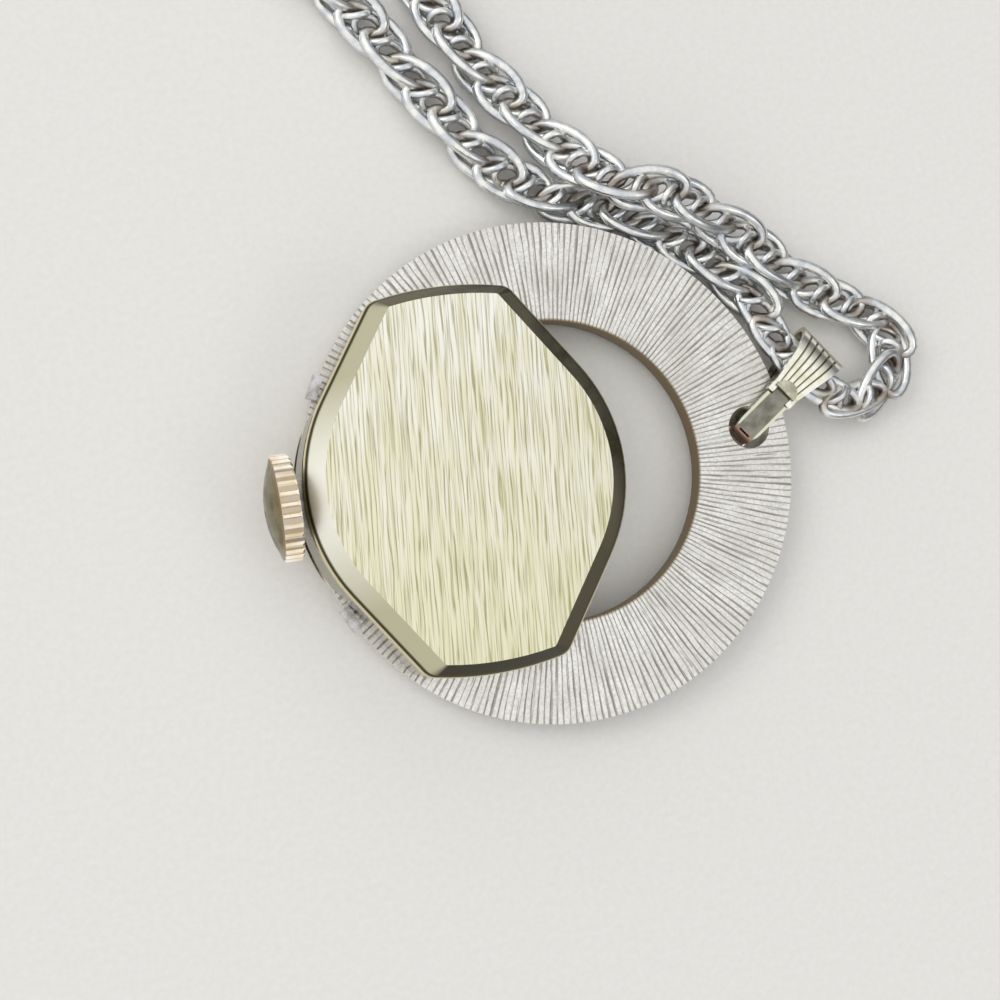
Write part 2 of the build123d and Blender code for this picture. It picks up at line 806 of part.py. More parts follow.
def hairspring():
    steps = 24
    count = round(hairspring_turns * steps)
    turns = [step / steps for step in range(count + 1)]
    outer = [polar(hairspring_start + hairspring_pitch * turn, 360 * turn) for turn in turns]
    inner = [point - point.normalized() * hairspring_strip for point in reversed(outer)]
    rise = balance_rise + balance_height + hairspring_rise
    spring = raised(make_face(Polyline(*outer, *inner, close=True)), rise, hairspring_height)
    stud = disc(outer[-1], hairspring_stud_radius, plate_top + rise, bridge_bottom)
    return placed(balance_place, spring + stud)


# Winding work
def ratchet_wheel():
    face = gear_face(ratchet_teeth, winding_module, heading(crown_wheel_place - barrel_place))
    wheel = slab(face, winding_bottom, winding_top)
    arbor_bottom = plate_top - barrel_drop - pivot_depth / 2
    return placed(barrel_place, wheel + disc(centre_place, barrel_arbor_radius, arbor_bottom, winding_top))


def crown_wheel():
    face = gap_face(crown_wheel_teeth, winding_module, heading(barrel_place - crown_wheel_place))
    wheel = slab(face, winding_bottom, winding_top)
    contrate = toothed_face(crown_wheel_teeth, contrate_radius + contrate_width / 2, contrate_radius)
    contrate -= Circle(contrate_radius - contrate_width / 2)
    wheel += slab(contrate, stem_height + winding_pinion_radius + shaft_gap, winding_bottom)
    wheel -= disc(centre_place, crown_wheel_post_radius + shaft_gap, 0, back_top)
    return placed(crown_wheel_place, wheel)


def crown_wheel_screw():
    head_bottom = winding_top + shaft_gap
    head_top = head_bottom + crown_wheel_head_height
    screw = disc(crown_wheel_place, crown_wheel_post_radius, plate_top, head_bottom)
    return screw + disc(crown_wheel_place, crown_wheel_head_radius, head_bottom, head_top)


def along_stem(face, start, stop):
    """A face raised along the stem's axis, between two places along X."""
    return Pos(start, 0, stem_height) * Rot(0, 90, 0) * extrude(face, amount=stop - start)


def winding_pinion():
    root = winding_pinion_radius - winding_pinion_depth
    face = toothed_face(winding_pinion_teeth, winding_pinion_radius, root) - Circle(stem_radius + shaft_gap)
    return along_stem(face, pinion_start, pinion_stop)


def stem_bush():
    start = bush_stop - bush_length
    bush = rod(bush_radius, start, bush_stop)
    bush -= rod(stem_radius + shaft_gap, start - overrun, bush_stop + overrun)
    groove_start = (start + bush_stop - bush_groove_width) / 2
    groove = rod(bush_radius + overrun, groove_start, groove_start + bush_groove_width)
    return bush - (groove - rod(bush_radius - bush_groove_depth, start, bush_stop))


def winding_stem():
    stem = rod(stem_radius, crown_start - crown_thread_depth, channel_stop - seat_gap)
    return stem + rod(stem_pilot_radius, channel_stop - bush_gap, pilot_stop)


def crown():
    face = toothed_face(crown_flutes, crown_radius, crown_radius - crown_flute_depth)
    band = along_stem(face, crown_start - crown_band, crown_start)
    envelope = [
        (0, 0), (crown_radius - crown_bevel, 0), (crown_radius, crown_bevel),
        (crown_radius, crown_band - crown_bevel), (crown_dome_radius, crown_band), (0, crown_band),
    ]
    limits = revolve(Plane.XZ * make_face(Polyline(*envelope, close=True)), axis=Axis.Z)
    band &= Pos(crown_start, 0, stem_height) * Rot(0, -90, 0) * limits
    ball = (crown_dome_radius**2 + crown_dome**2) / (2 * crown_dome)
    dome = Pos(0, 0, crown_dome - ball) * Sphere(ball)
    dome &= Pos(0, 0, crown_dome / 2) * Cylinder(crown_dome_radius, crown_dome)
    band += Pos(crown_start - crown_band, 0, stem_height) * Rot(0, -90, 0) * dome
    band -= rod(crown_recess_radius, crown_start - crown_recess_depth, crown_start + overrun)
    return band - rod(stem_radius, crown_start - crown_thread_depth, crown_start)


# Motion work and hands
def cannon_pinion():
    low = plate_bottom + cannon_tooth_rise
    gear = slab(gap_face(cannon_teeth, motion_module, 90), low, low + cannon_tooth_height)
    tube = disc(centre_place, cannon_radius, dial_bottom - minute_hand_drop, low)
    return gear + tube - disc(centre_place, centre_arbor_radius, 0, plate_top)


def minute_wheel():
    low = plate_bottom + minute_wheel_rise
    wheel = slab(gear_face(minute_wheel_teeth, motion_module, -90), low, low + wheel_thickness)
    wheel += slab(gap_face(minute_pinion_teeth, hour_module, -90), plate_bottom + shaft_gap, low)
    return placed(minute_wheel_place, wheel - disc(centre_place, arbor_radius + shaft_gap, 0, plate_top))


def hour_wheel():
    low = plate_bottom + seat_gap
    wheel = slab(gear_face(hour_teeth, hour_module, 90), low, low + wheel_thickness)
    wheel += disc(centre_place, hour_tube_radius, dial_bottom - hour_hand_drop, low)
    return wheel - disc(centre_place, cannon_radius + shaft_gap, 0, plate_top)


def hand(length, hole_radius, bottom, turn):
    """A tapered hand that points to an angle of the dial, counted from the bail's side."""
    points = [
        (-hand_tail, -hand_tip_width), (-hand_tail, hand_tip_width), (0, hand_width / 2),
        (length, hand_tip_width / 2), (length, -hand_tip_width / 2), (0, -hand_width / 2),
    ]
    face = make_face(Polyline(*points, close=True)) + Circle(hole_radius + hand_boss)
    return slab(Rot(0, 0, turn) * (face - Circle(hole_radius)), bottom, bottom + hand_thickness)


def hour_hand():
    turn = 30 * (shown_hour + shown_minute / 60)
    return hand(hour_hand_length, hour_tube_radius, dial_bottom - hour_hand_drop, turn)


def minute_hand():
    return hand(minute_hand_length, cannon_radius, dial_bottom - minute_hand_drop, 6 * shown_minute)


# Bail, drawn with X along the bail from the centre of its hole
bail_bend_height = bail_floor_gap + bail_leaf + bail_inner_radius
bail_length = bail_chain_place + bail_inner_radius + bail_leaf


def leaf_start(radius):
    """The point where the back leaf of this bend radius begins, over the hinge."""
    touch = Vector(bail_chain_place, bail_bend_height) + polar(radius, 90 + bail_slope)
    return touch + Vector(1, math.tan(math.radians(bail_slope))) * (bail_leaf_start - touch.X)


def strap_profile(inner, outer, start):
    """The side view of the folded strap between two bend radii, with Y upward."""
    centre = Vector(bail_chain_place, bail_bend_height)
    middle = bail_slope / 2
    top = 90 + bail_slope
    edges = [
        Line((start, centre.Y - outer), centre + polar(outer, -90)),
        ThreePointArc(centre + polar(outer, -90), centre + polar(outer, middle), centre + polar(outer, top)),
        Line(centre + polar(outer, top), leaf_start(outer)),
        Line(leaf_start(outer), leaf_start(inner)),
        Line(leaf_start(inner), centre + polar(inner, top)),
        ThreePointArc(centre + polar(inner, top), centre + polar(inner, middle), centre + polar(inner, -90)),
        Line(centre + polar(inner, -90), (start, centre.Y - inner)),
        Line((start, centre.Y - inner), (start, centre.Y - outer)),
    ]
    return Plane.XZ * make_face(edges)


def across(profile, half_width):
    """A side view of the bail, spread to both sides."""
    return extrude(profile, amount=half_width, both=True)


def cross_rod(radius, half_width, place, height):
    """A round rod across the bail."""
    return Pos(place, 0, height) * Rot(90, 0, 0) * Cylinder(radius, 2 * half_width)


def plan(half_widths):
    """A tall solid with the bail's plan, from pairs of a place along it and a half width."""
    outline = half_widths + [(place, -half) for place, half in reversed(half_widths)]
    return slab(make_face(Polyline(*outline, close=True)), 0, back_top)


def bail_shell():
    outer = bail_inner_radius + bail_leaf
    shell = across(strap_profile(bail_inner_radius, outer, -bail_tip_reach), 2 * bail_top_half_width)
    hook_low = (-bail_tip_reach, -bail_top_half_width, bail_floor_gap)
    shell += block(hook_low, (bail_leaf - bail_tip_reach, bail_top_half_width, ring_bottom - seat_gap))
    shell &= plan([
        (-bail_tip_reach, bail_strap_half_width), (bail_leaf_start - bail_neck, bail_strap_half_width),
        (bail_leaf_start, bail_base_half_width), (bail_length, bail_top_half_width),
    ])
    spread = (bail_top_half_width - bail_base_half_width) / (bail_length - bail_leaf_start)
    apex = bail_leaf_start - bail_base_half_width / spread
    skin_profile = strap_profile(outer - bail_flute_depth, outer + overrun, bail_leaf_start)
    skin = across(skin_profile, 2 * bail_top_half_width)
    for index in range(bail_flutes):
        turn = math.degrees(math.atan(spread)) * (2 * (index + 1) / (bail_flutes + 1) - 1)
        strip = Pos(bail_length, 0) * Rectangle(2 * bail_length, bail_flute_width)
        shell -= skin & slab(Pos(apex, 0) * Rot(0, 0, turn) * strip, -overrun, back_top)
    ear_low = (bail_pin_place, -bail_base_half_width, bail_pin_height)
    ear_stop = bail_leaf_start + bail_ear_radius / 2
    ear_high = (ear_stop, bail_base_half_width, bail_pin_height + bail_ear_radius)
    ears = cross_rod(bail_ear_radius, bail_base_half_width, bail_pin_place, bail_pin_height)
    ears += block(ear_low, ear_high)
    slot_stop = bail_pin_place + bail_knuckle_radius + seat_gap
    slot_half = bail_knuckle_half_width + seat_gap
    ears -= block((0, -slot_half, 0), (slot_stop, slot_half, back_top))
    return shell + ears - cross_rod(bail_pin_radius, bail_base_half_width, bail_pin_place, bail_pin_height)


def bail_pin():
    return cross_rod(bail_pin_radius, bail_base_half_width, bail_pin_place, bail_pin_height)


def bail_tab():
    base = leaf_start(bail_inner_radius + bail_leaf)
    face = Circle(tab_radius) & Pos(tab_radius, 0) * Rectangle(2 * tab_radius, 2 * tab_radius)
    tab = Pos(-tab_overhang, 0, 0) * extrude(face, amount=tab_thickness)
    return Pos(base.X, 0, base.Y) * Rot(0, -bail_slope, 0) * tab


def tongue():
    top = bail_pin_height + bail_knuckle_radius
    fall = (top - tongue_bend_height) / (bail_pin_place + bail_tip_reach)
    inner = tongue_thickness - bail_tip_reach
    bend = tongue_bend_chamfer - bail_tip_reach
    under_tip = tongue_bend_height - tongue_thickness
    under_pin = under_tip + fall * (bail_pin_place - inner)
    points = [
        (bail_pin_place, top), (bend, tongue_bend_height + fall * tongue_bend_chamfer),
        (-bail_tip_reach, tongue_bend_height - tongue_bend_chamfer), (-bail_tip_reach, ring_bottom),
        (inner, ring_bottom), (inner, under_tip), (bail_pin_place, under_pin),
    ]
    strap = across(Plane.XZ * make_face(Polyline(*points, close=True)), bail_strap_half_width)
    root_place = bail_pin_place - tongue_root
    strap &= plan([
        (-bail_tip_reach, tongue_tip_half_width), (0, bail_strap_half_width),
        (root_place, bail_strap_half_width), (root_place, bail_knuckle_half_width),
        (bail_pin_place, bail_knuckle_half_width),
    ])
    strap += cross_rod(bail_knuckle_radius, bail_knuckle_half_width, bail_pin_place, bail_pin_height)
    window_bottom = tongue_bend_height - tongue_window_drop
    window_low = (-bail_tip_reach - overrun, -tongue_window_half_width, window_bottom)
    strap -= block(window_low, (bend, tongue_window_half_width, window_bottom + tongue_window_height))
    bore = bail_pin_radius + shaft_gap
    return strap - cross_rod(bore, bail_base_half_width, bail_pin_place, bail_pin_height)


# Chain
def route_radii(points):
    """The bend radius at each corner of the chain's route."""
    radii = []
    for before, corner, after in zip(points, points[1:], points[2:]):
        first = Vector(corner) - Vector(before)
        second = Vector(after) - Vector(corner)
        half_turn = math.radians(first.get_angle(second)) / 2
        radii.append(run_share * min(first.length, second.length) / math.tan(half_turn))
    return radii


def coil_route():
    """The coil's route, the place where it ends and the direction of that end."""
    place = Vector(*chain_route[-1])
    along = (place - Vector(*chain_route[-2])).normalized()
    side = Vector(along.Y, -along.X, 0)
    straight = 2 * chain_radius
    edges = [Line(place, place + along * straight)]
    place += along * straight
    radii = [coil_outer_radius - coil_step * half for half in range(coil_inward_halves + 1)]
    turns = [(radius, 0) for radius in radii[:-1]] + [(radii[-1], coil_layer_rise)]
    turns += [(radii[-1] + coil_step * (half + 1), 0) for half in range(coil_outward_halves)]
    for radius, rise in turns:
        chord = side * math.sqrt((2 * radius) ** 2 - rise**2) + Vector(0, 0, rise)
        edges.append(ThreePointArc(place, place + chord / 2 + along * radius, place + chord))
        place += chord
        along = -along
        side = -side
    edges.append(Line(place, place + along * straight))
    return Wire(edges), place + along * straight, along


def chain_tube(route):
    """The chain's envelope along a route."""
    section = Plane(origin=route @ 0, z_dir=route % 0) * Circle(chain_radius)
    return sweep(section, path=route)


def least_gap(points, others, skip):
    """The least gap between two tubes, or of one tube to itself when skip points are left out."""
    least = math.inf
    for index, point in enumerate(points):
        for other in others[index + skip:] if skip else others:
            least = min(least, (point - other).length)
    return least - 2 * chain_radius


def end_ring():
    start = Vector(*chain_route[0])
    out = (start - Vector(*chain_route[1])).normalized()
    tilt = math.asin((chain_rest - end_ring_wire) / (2 * end_ring_radius))
    centre = start + out * (end_ring_radius * math.cos(tilt) - end_ring_bite)
    height = end_ring_wire + seat_gap + end_ring_radius * math.sin(tilt)
    turn = Rot(0, 0, heading(out)) * Rot(0, math.degrees(tilt), 0)
    return Pos(centre.X, centre.Y, height) * turn * Torus(end_ring_radius, end_ring_wire)


free_route = FilletPolyline(*chain_route, radius=route_radii(chain_route))
coil_wire, coil_end, coil_exit = coil_route()
clasp_reach = 2 * jump_ring_radius - jump_ring_bite + clasp_eye_reach
clasp_height = chain_rest + chain_radius + seat_gap + clasp_tube_radius
clasp_centre = Vector(coil_end.X, coil_end.Y, clasp_height) + coil_exit * clasp_reach
clasp_spot = Pos(*clasp_centre) * Rot(0, 0, heading(-coil_exit))
clasp_gap_end = clasp_gap_angle + clasp_gap_turn
clasp_knob_angle = clasp_gap_angle - clasp_pin_tail / 2


def jump_ring():
    centre = coil_end + coil_exit * (jump_ring_radius - jump_ring_bite)
    return Pos(*centre) * Torus(jump_ring_radius, jump_ring_wire)


def ring_arc(face, start, stop):
    """A face of the clasp's wall, swept round its centre between two angles."""
    section = Plane.XZ * Pos(clasp_radius, 0) * face
    return Rot(0, 0, start) * revolve(section, axis=Axis.Z, revolution_arc=stop - start)


def clasp_body():
    body = ring_arc(Circle(clasp_tube_radius), clasp_gap_end, clasp_gap_angle + 360)
    eye_height = coil_end.Z + jump_ring_wire + 2 * seat_gap - clasp_eye_radius + clasp_eye_wire - clasp_height
    body += Pos(clasp_eye_reach, 0, eye_height) * Rot(90, 0, 0) * Torus(clasp_eye_radius, clasp_eye_wire)
    tail_angle = clasp_gap_angle - clasp_pin_tail - clasp_travel
    bore = Circle(clasp_bore_radius)
    body -= ring_arc(bore, tail_angle - clasp_slot_margin, clasp_gap_angle + clasp_pin_entry)
    body -= ring_arc(bore, clasp_gap_end - clasp_pin_entry, clasp_gap_end + 2 * clasp_pin_entry)
    slot = Pos(clasp_tube_radius, 0) * Rectangle(2 * clasp_tube_radius, 2 * clasp_slot_half_height)
    slot_start = clasp_knob_angle - clasp_travel - clasp_slot_margin
    return clasp_spot * (body - ring_arc(slot, slot_start, clasp_knob_angle + clasp_slot_margin))


def clasp_slide():
    tip_angle = clasp_gap_end + clasp_pin_entry
    pin = ring_arc(Circle(clasp_pin_radius), clasp_gap_angle - clasp_pin_tail, tip_angle)
    knob = Rot(0, 90, 0) * Cylinder(clasp_knob_radius, clasp_knob_reach)
    knob = Pos(clasp_radius + clasp_knob_reach / 2, 0, 0) * knob
    return clasp_spot * (pin + Rot(0, 0, clasp_knob_angle) * knob)


# Every node, in the frame of the ring
watch_spot = Pos(-head_offset, 0, 0)
bail_spot = Pos(bail_hole.X, bail_hole.Y, 0) * Rot(0, 0, bail_heading)
watch_pieces = [
    case_body, stem_tube, back_gasket, case_back, bezel, crystal, dial_spacer, dial, hour_markers,
    movement_holder, main_plate, barrel_bridge, train_bridge, balance_cock, pallet_cock, jewels,
    bridge_screws, mainspring_barrel, centre_wheel, third_wheel, fourth_wheel, escape_wheel, pallet_fork,
    balance_wheel, hairspring, ratchet_wheel, crown_wheel, crown_wheel_screw, winding_pinion, stem_bush,
    winding_stem, crown, cannon_pinion, minute_wheel, hour_wheel, hour_hand, minute_hand,
]
nodes = {"ring_plate": ring_plate(), "ring_lug_upper": ring_lug(1), "ring_lug_lower": ring_lug(-1)}
nodes.update({make.__name__: watch_spot * make() for make in watch_pieces})
nodes.update({make.__name__: bail_spot * make() for make in (bail_shell, bail_pin, bail_tab, tongue)})

# The origin moves under the middle of the pendant, and the chain doesn't count in that
boxes = [piece.bounding_box() for piece in nodes.values()]
low = [min(getattr(box.min, axis) for box in boxes) for axis in "XYZ"]
high = [max(getattr(box.max, axis) for box in boxes) for axis in "XYZ"]
shift = Vector(-(low[0] + high[0]) / 2, -(low[1] + high[1]) / 2, -low[2])
nodes.update({"chain_run": chain_tube(free_route), "chain_coil": chain_tube(coil_wire)})
nodes.update({make.__name__: make() for make in (end_ring, jump_ring, clasp_body, clasp_slide)})
os.makedirs("parts", exist_ok=True)
for name, piece in nodes.items():
    export_step(Pos(*shift) * piece, os.path.join("parts", name + ".step"))

# Facts about the model
print("shift of the origin", shift)
print("box of the pendant", [round(b - a, 3) for a, b in zip(low, high)])
print("bend radii of the free chain", [round(radius, 1) for radius in route_radii(chain_route)])
section_area = math.pi * chain_radius**2
for name, route in (("chain_run", free_route), ("chain_coil", coil_wire)):
    ratio = nodes[name].volume / (section_area * route.length)
    print(name, "length", round(route.length, 1), "volume over section times length", round(ratio, 4))
run_points = free_route.positions([index / 240 for index in range(241)])
coil_points = coil_wire.positions([index / 800 for index in range(801)])
run_skip = 20
coil_skip = 12
joint_skip = 8
print("least gap of the free chain to itself", round(least_gap(run_points, run_points, run_skip), 2))
print("least gap of the coil to itself", round(least_gap(coil_points, coil_points, coil_skip), 2))
gap_between = least_gap(run_points[:-joint_skip], coil_points[joint_skip:], 0)
print("least gap of the free chain to the coil", round(gap_between, 2))
places = {
    "centre": centre_place, "barrel": barrel_place, "crown wheel": crown_wheel_place, "third": third_place,
    "fourth": fourth_place, "escape": escape_place, "pallet": pallet_place, "balance": balance_place,
    "minute wheel": minute_wheel_place,
}
for name, place in places.items():
    print("axis of the", name, place + shift - Vector(head_offset, 0, 0))
print("stem height", stem_height, "bail hole", bail_hole + shift, "clasp", clasp_centre + shift)
print("bail pin", (bail_spot * Pos(bail_pin_place, 0, bail_pin_height)).position + shift)
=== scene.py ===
# %% [markdown]
# This lesson dresses a pendant watch that lies on its dial side, with its back up.
# The solid model holds every rigid piece in its place. Blender adds the camera, the light, the
# finishes and the links of the chain, and it never moves a solid piece. The frame also says where
# the joints are. A place times level is the same place at height zero.

# %% Load the solid model
import bisect
import json
import math
import bpy
from mathutils import Euler, Matrix, Vector


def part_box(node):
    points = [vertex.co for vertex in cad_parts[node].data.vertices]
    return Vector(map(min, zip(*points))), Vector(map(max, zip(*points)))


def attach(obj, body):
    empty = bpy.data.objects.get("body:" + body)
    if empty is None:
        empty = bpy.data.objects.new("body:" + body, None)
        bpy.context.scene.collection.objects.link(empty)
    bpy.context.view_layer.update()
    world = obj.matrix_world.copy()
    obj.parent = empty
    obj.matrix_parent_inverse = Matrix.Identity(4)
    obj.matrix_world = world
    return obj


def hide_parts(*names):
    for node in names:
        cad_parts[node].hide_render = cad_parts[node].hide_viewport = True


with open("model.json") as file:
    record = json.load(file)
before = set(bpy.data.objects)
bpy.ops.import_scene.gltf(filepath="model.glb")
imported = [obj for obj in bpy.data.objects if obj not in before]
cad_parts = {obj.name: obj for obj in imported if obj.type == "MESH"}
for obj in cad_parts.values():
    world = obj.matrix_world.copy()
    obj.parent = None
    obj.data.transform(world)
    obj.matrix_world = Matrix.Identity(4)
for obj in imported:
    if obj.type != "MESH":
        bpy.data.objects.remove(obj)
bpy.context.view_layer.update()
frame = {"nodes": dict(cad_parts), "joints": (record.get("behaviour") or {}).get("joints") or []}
nodes = frame["nodes"]
joint_places = {joint["name"]: Vector(joint["pos_m"]) for joint in frame["joints"] if "pos_m" in joint}
mm = 0.001
level = Vector((1, 1, 0))

# %% [markdown]
# The camera comes first, because every finish is judged through it.
# A phone held a hand's width over a table sees the piece almost straight down. The place and the
# three turns below were fitted to the round edge of the ring and to the corners of the case back.
# The turns are about X, Y and Z, in degrees.

# %% Camera
camera_data = bpy.data.cameras.new("camera")
camera_data.sensor_width = 36
camera_data.lens = 60.12
camera_data.clip_start = 1 * mm
camera = bpy.data.objects.new("camera", camera_data)
bpy.context.scene.collection.objects.link(camera)
camera_place = Vector((-28.998, -6.29, 104.383)) * mm
camera_turns = Euler([math.radians(turn) for turn in (4.8685, -12.7168, -9.578)])
camera.matrix_world = Matrix.Translation(camera_place) @ camera_turns.to_matrix().to_4x4()
bpy.context.scene.camera = camera
print("camera height in mm:", round(camera_place.z / mm, 1))

# %% [markdown]
# A chain lies on one smooth line, and every link follows that line. A curve through a few points
# that a person can read is easier to mend than a traced one, so the line is a NURBS curve.
# It starts at the end ring, comes down beside the ring plate, turns back through the bail and
# goes up again, and the length that a photograph would not show is wound into a flat coil. The
# points are in millimetres from the middle of the ring plate, and the frame says where that is.
# The name rest stands for the height of the chain's middle where it lies on the table.

# %% Points of the route
ring_low, ring_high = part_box("ring_plate")
ring_middle = (ring_low + ring_high) / 2 * level
rest = 1.4
route = [
    (-4.2, 34.4, rest), (-2.9, 31.2, rest), (-1.3, 28.0, rest), (0.5, 25.2, 1.5), (2.6, 22.3, 1.9),
    (4.6, 19.4, 3.0), (6.7, 17.4, 4.2), (9.4, 16.7, 4.3), (12.5, 15.2, 3.5), (15.6, 13.0, 2.3),
    (18.3, 10.7, 1.6), (20.9, 8.6, rest), (24.2, 7.1, rest), (25.0, 4.4, rest), (23.1, 2.0, 1.6),
    (19.95, 1.6, 2.05), (16.5, 6.0, 2.05), (15.5, 9.5, 1.6), (13.3, 12.1, rest), (10.1, 14.6, rest),
    (6.9, 16.5, rest), (1.9, 18.0, rest), (-0.8, 20.3, rest), (-3.4, 24.1, rest), (-5.6, 27.4, rest),
    (-8.2, 31.5, rest), (-11.3, 35.6, rest), (-13.8, 40.2, rest), (-15.7, 45.2, rest), (-16.7, 50.2, rest),
    (-16.7, 55.0, rest),
]
route = [Vector(point) for point in route]
print("points set by hand:", len(route))

# %% [markdown]
# The coil is made of half turns, each with its own radius, so every turn lies beside the last one.
# One half turn climbs a layer higher, and those after it lie on the first layer. The line is then
# read back as many short steps, which the links follow.

# %% Coil and line of the chain
chain_radius = 1.35
coil_radii = [20.9, 19.2, 17.5, 15.8, 14.1, 12.4, 10.7, 12.4, 14.1]
climbing_half = 6
layer_rise = 3.25
points_per_half = 9


def coil_points(place, along):
    """The points of the coil's half turns, from its start place and direction."""
    points = [place + along * chain_radius]
    place = place + along * 2 * chain_radius
    side = Vector((along.y, -along.x, 0))
    for half, radius in enumerate(coil_radii):
        centre = place + side * radius
        for step in range(points_per_half):
            angle = math.pi * (step + 0.5) / points_per_half
            point = centre - side * radius * math.cos(angle) + along * radius * math.sin(angle)
            if half == climbing_half:
                point.z += layer_rise * (step + 0.5) / points_per_half
            points.append(point)
        place = place + side * 2 * radius
        if half == climbing_half:
            place.z += layer_rise
        along, side = -along, -side
    return points + [place, place + along * 2 * chain_radius]


route += coil_points(route[-1], (route[-1] - route[-2]).normalized())
line = bpy.data.curves.new("chain_line", "CURVE")
line.dimensions = "3D"
line.resolution_u = 12
spline = line.splines.new("NURBS")
spline.points.add(len(route) - 1)
for control, point in zip(spline.points, route):
    control.co = (*(point * mm + ring_middle), 1)
spline.order_u = 3
spline.use_endpoint_u = True
line_object = bpy.data.objects.new("chain_line", line)
bpy.context.scene.collection.objects.link(line_object)
line_mesh = bpy.data.meshes.new_from_object(line_object)
path = [vertex.co.copy() for vertex in line_mesh.vertices]
bpy.data.objects.remove(line_object)
reaches = [0.0]
for before, after in zip(path, path[1:]):
    reaches.append(reaches[-1] + (after - before).length)
chain_length = reaches[-1]
print("control points:", len(route), "chain length in mm:", round(chain_length / mm, 1))

# %% [markdown]
# This is a rope chain. Each large oval link passes through the next one. One leans to the left, the
# next to the right and the third lies flat, so their edges wind like the strands of a rope. Small
# round rings in the middle keep them apart. A skew makes a link slant along the chain, and a lean
# tips a small ring over.
# The few links inside the bail lie flat and are narrower, so the bail can swing over them.
# Every link is rigid, so it follows the direction of the line at its own middle.

# %% Middle lines of the links
link_step = 2.16 * mm
link_half_length = 2.3 * mm
link_half_width = 1.36 * mm
link_wire = 0.335 * mm
link_points = 24
link_sides = 8
bail_middle = Vector((17.36, 4.6, 2.05)) * mm
bail_reach = 4.6 * mm
bail_link_half_width = 0.95 * mm
link_tilts = [math.radians(32), math.radians(-32), 0]
link_skew = 0.9 * mm
inner_radius = 0.8 * mm
inner_wire = 0.24 * mm
inner_points = 16
inner_sides = 6
inner_skew = 0.5
inner_leans = [1.4, -0.6]


def place_at(reach):
    """The place on the line at a distance from its start, with its direction and level side."""
    index = max(1, min(bisect.bisect_left(reaches, reach), len(path) - 1))
    share = (reach - reaches[index - 1]) / (reaches[index] - reaches[index - 1])
    direction = (path[index] - path[index - 1]).normalized()
    side = Vector((0, 0, 1)).cross(direction).normalized()
    return path[index - 1].lerp(path[index], share), direction, side


def large_link(reach, turn):
    """The middle line of a large oval link."""
    place, direction, side = place_at(reach)
    width = link_half_width
    if (place - bail_middle).length < bail_reach:
        turn, width = 0, bail_link_half_width
    out = side * math.cos(turn) + direction.cross(side) * -math.sin(turn)
    points = []
    for step in range(link_points):
        angle = 2 * math.pi * step / link_points
        along = link_half_length * math.cos(angle) + link_skew * math.sin(angle)
        points.append(place + direction * along + out * math.sin(angle) * width)
    return points


def small_ring(reach, lean):
    """The middle line of a small ring, which stands across the chain and leans along it."""
    place, direction, side = place_at(reach)
    first = (side + direction * inner_skew).normalized()
    second = (Vector((0, 0, 1)) + direction * lean).normalized()
    turns = [2 * math.pi * step / inner_points for step in range(inner_points)]
    return [place + (first * math.cos(a) + second * math.sin(a)) * inner_radius for a in turns]


print("length of a large link in mm:", round(2 * (link_half_length + link_wire) / mm, 2))

# %% [markdown]
# A link is a tube that closes on itself. A small polygon of corners stands at each point of its
# middle line, and each corner joins the same corner of the next polygon. All links go into one
# mesh, which is easier to handle than hundreds of objects.

# %% Tube of a link
def add_tube(vertices, faces, loop, radius, sides):
    """Adds the closed tube of a link to the lists of a mesh."""
    start = len(vertices)
    middle = sum(loop, Vector()) / len(loop)
    for index, point in enumerate(loop):
        along = (loop[(index + 1) % len(loop)] - loop[index - 1]).normalized()
        out = point - middle
        out = (out - along * out.dot(along)).normalized()
        up = along.cross(out)
        for corner in range(sides):
            angle = 2 * math.pi * corner / sides
            vertices.append(point + (out * math.cos(angle) + up * math.sin(angle)) * radius)
    for ring in range(len(loop)):
        following = (ring + 1) % len(loop)
        for corner in range(sides):
            beside = (corner + 1) % sides
            faces.append((
                start + ring * sides + corner, start + following * sides + corner,
                start + following * sides + beside, start + ring * sides + beside,
            ))


def mesh_piece(name, vertices, faces):
    """A smooth mesh object made of the given corners and faces."""
    mesh = bpy.data.meshes.new(name)
    mesh.from_pydata(vertices, [], faces)
    mesh.polygons.foreach_set("use_smooth", [True] * len(faces))
    piece = bpy.data.objects.new(name, mesh)
    bpy.context.scene.collection.objects.link(piece)
    return piece


print("corners of a large link:", link_points * link_sides)

# %% [markdown]
# The links follow each other down the line. Each point keeps its distance from the line, because the
# finish is painted darker inside, as painted shade with some tarnish. The chain stands for two plain tubes
# of the solid model, and it moves with the pendant.

# %% Rope chain
vertices, faces, depths = [], [], []
link_count = int(chain_length / link_step)
for number in range(link_count):
    reach = link_step * (number + 0.5)
    tilt = link_tilts[number % len(link_tilts)]
    add_tube(vertices, faces, large_link(reach, tilt), link_wire, link_sides)
    for count, lean in enumerate(inner_leans):
        share = (count + 0.5) / len(inner_leans)
        add_tube(vertices, faces, small_ring(reach + share * link_step, lean), inner_wire, inner_sides)
    place, direction, _ = place_at(reach)
    depths += [(vertex - place).cross(direction).length for vertex in vertices[len(depths):]]
chain = mesh_piece("rope_chain", vertices, faces)
depth = chain.data.attributes.new("distance_from_middle", "FLOAT", "POINT")
depth.data.foreach_set("value", [value / (chain_radius * mm) for value in depths])
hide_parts("chain_run", "chain_coil")
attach(chain, "pendant")
print("large links:", link_count, "faces of the chain:", len(faces))

# %% [markdown]
# Colours are written as the hex values that a screen shows. Blender's shaders want linear light,
# so one function turns them. A second function adds a node with its settings and its links, which
# keeps every finish below short enough to read. A third starts a finish with its fixed values.
# The others do what most finishes need: they stretch a value, blend two colours, make noise with a
# grain, raise a relief and give the finish to solid pieces.

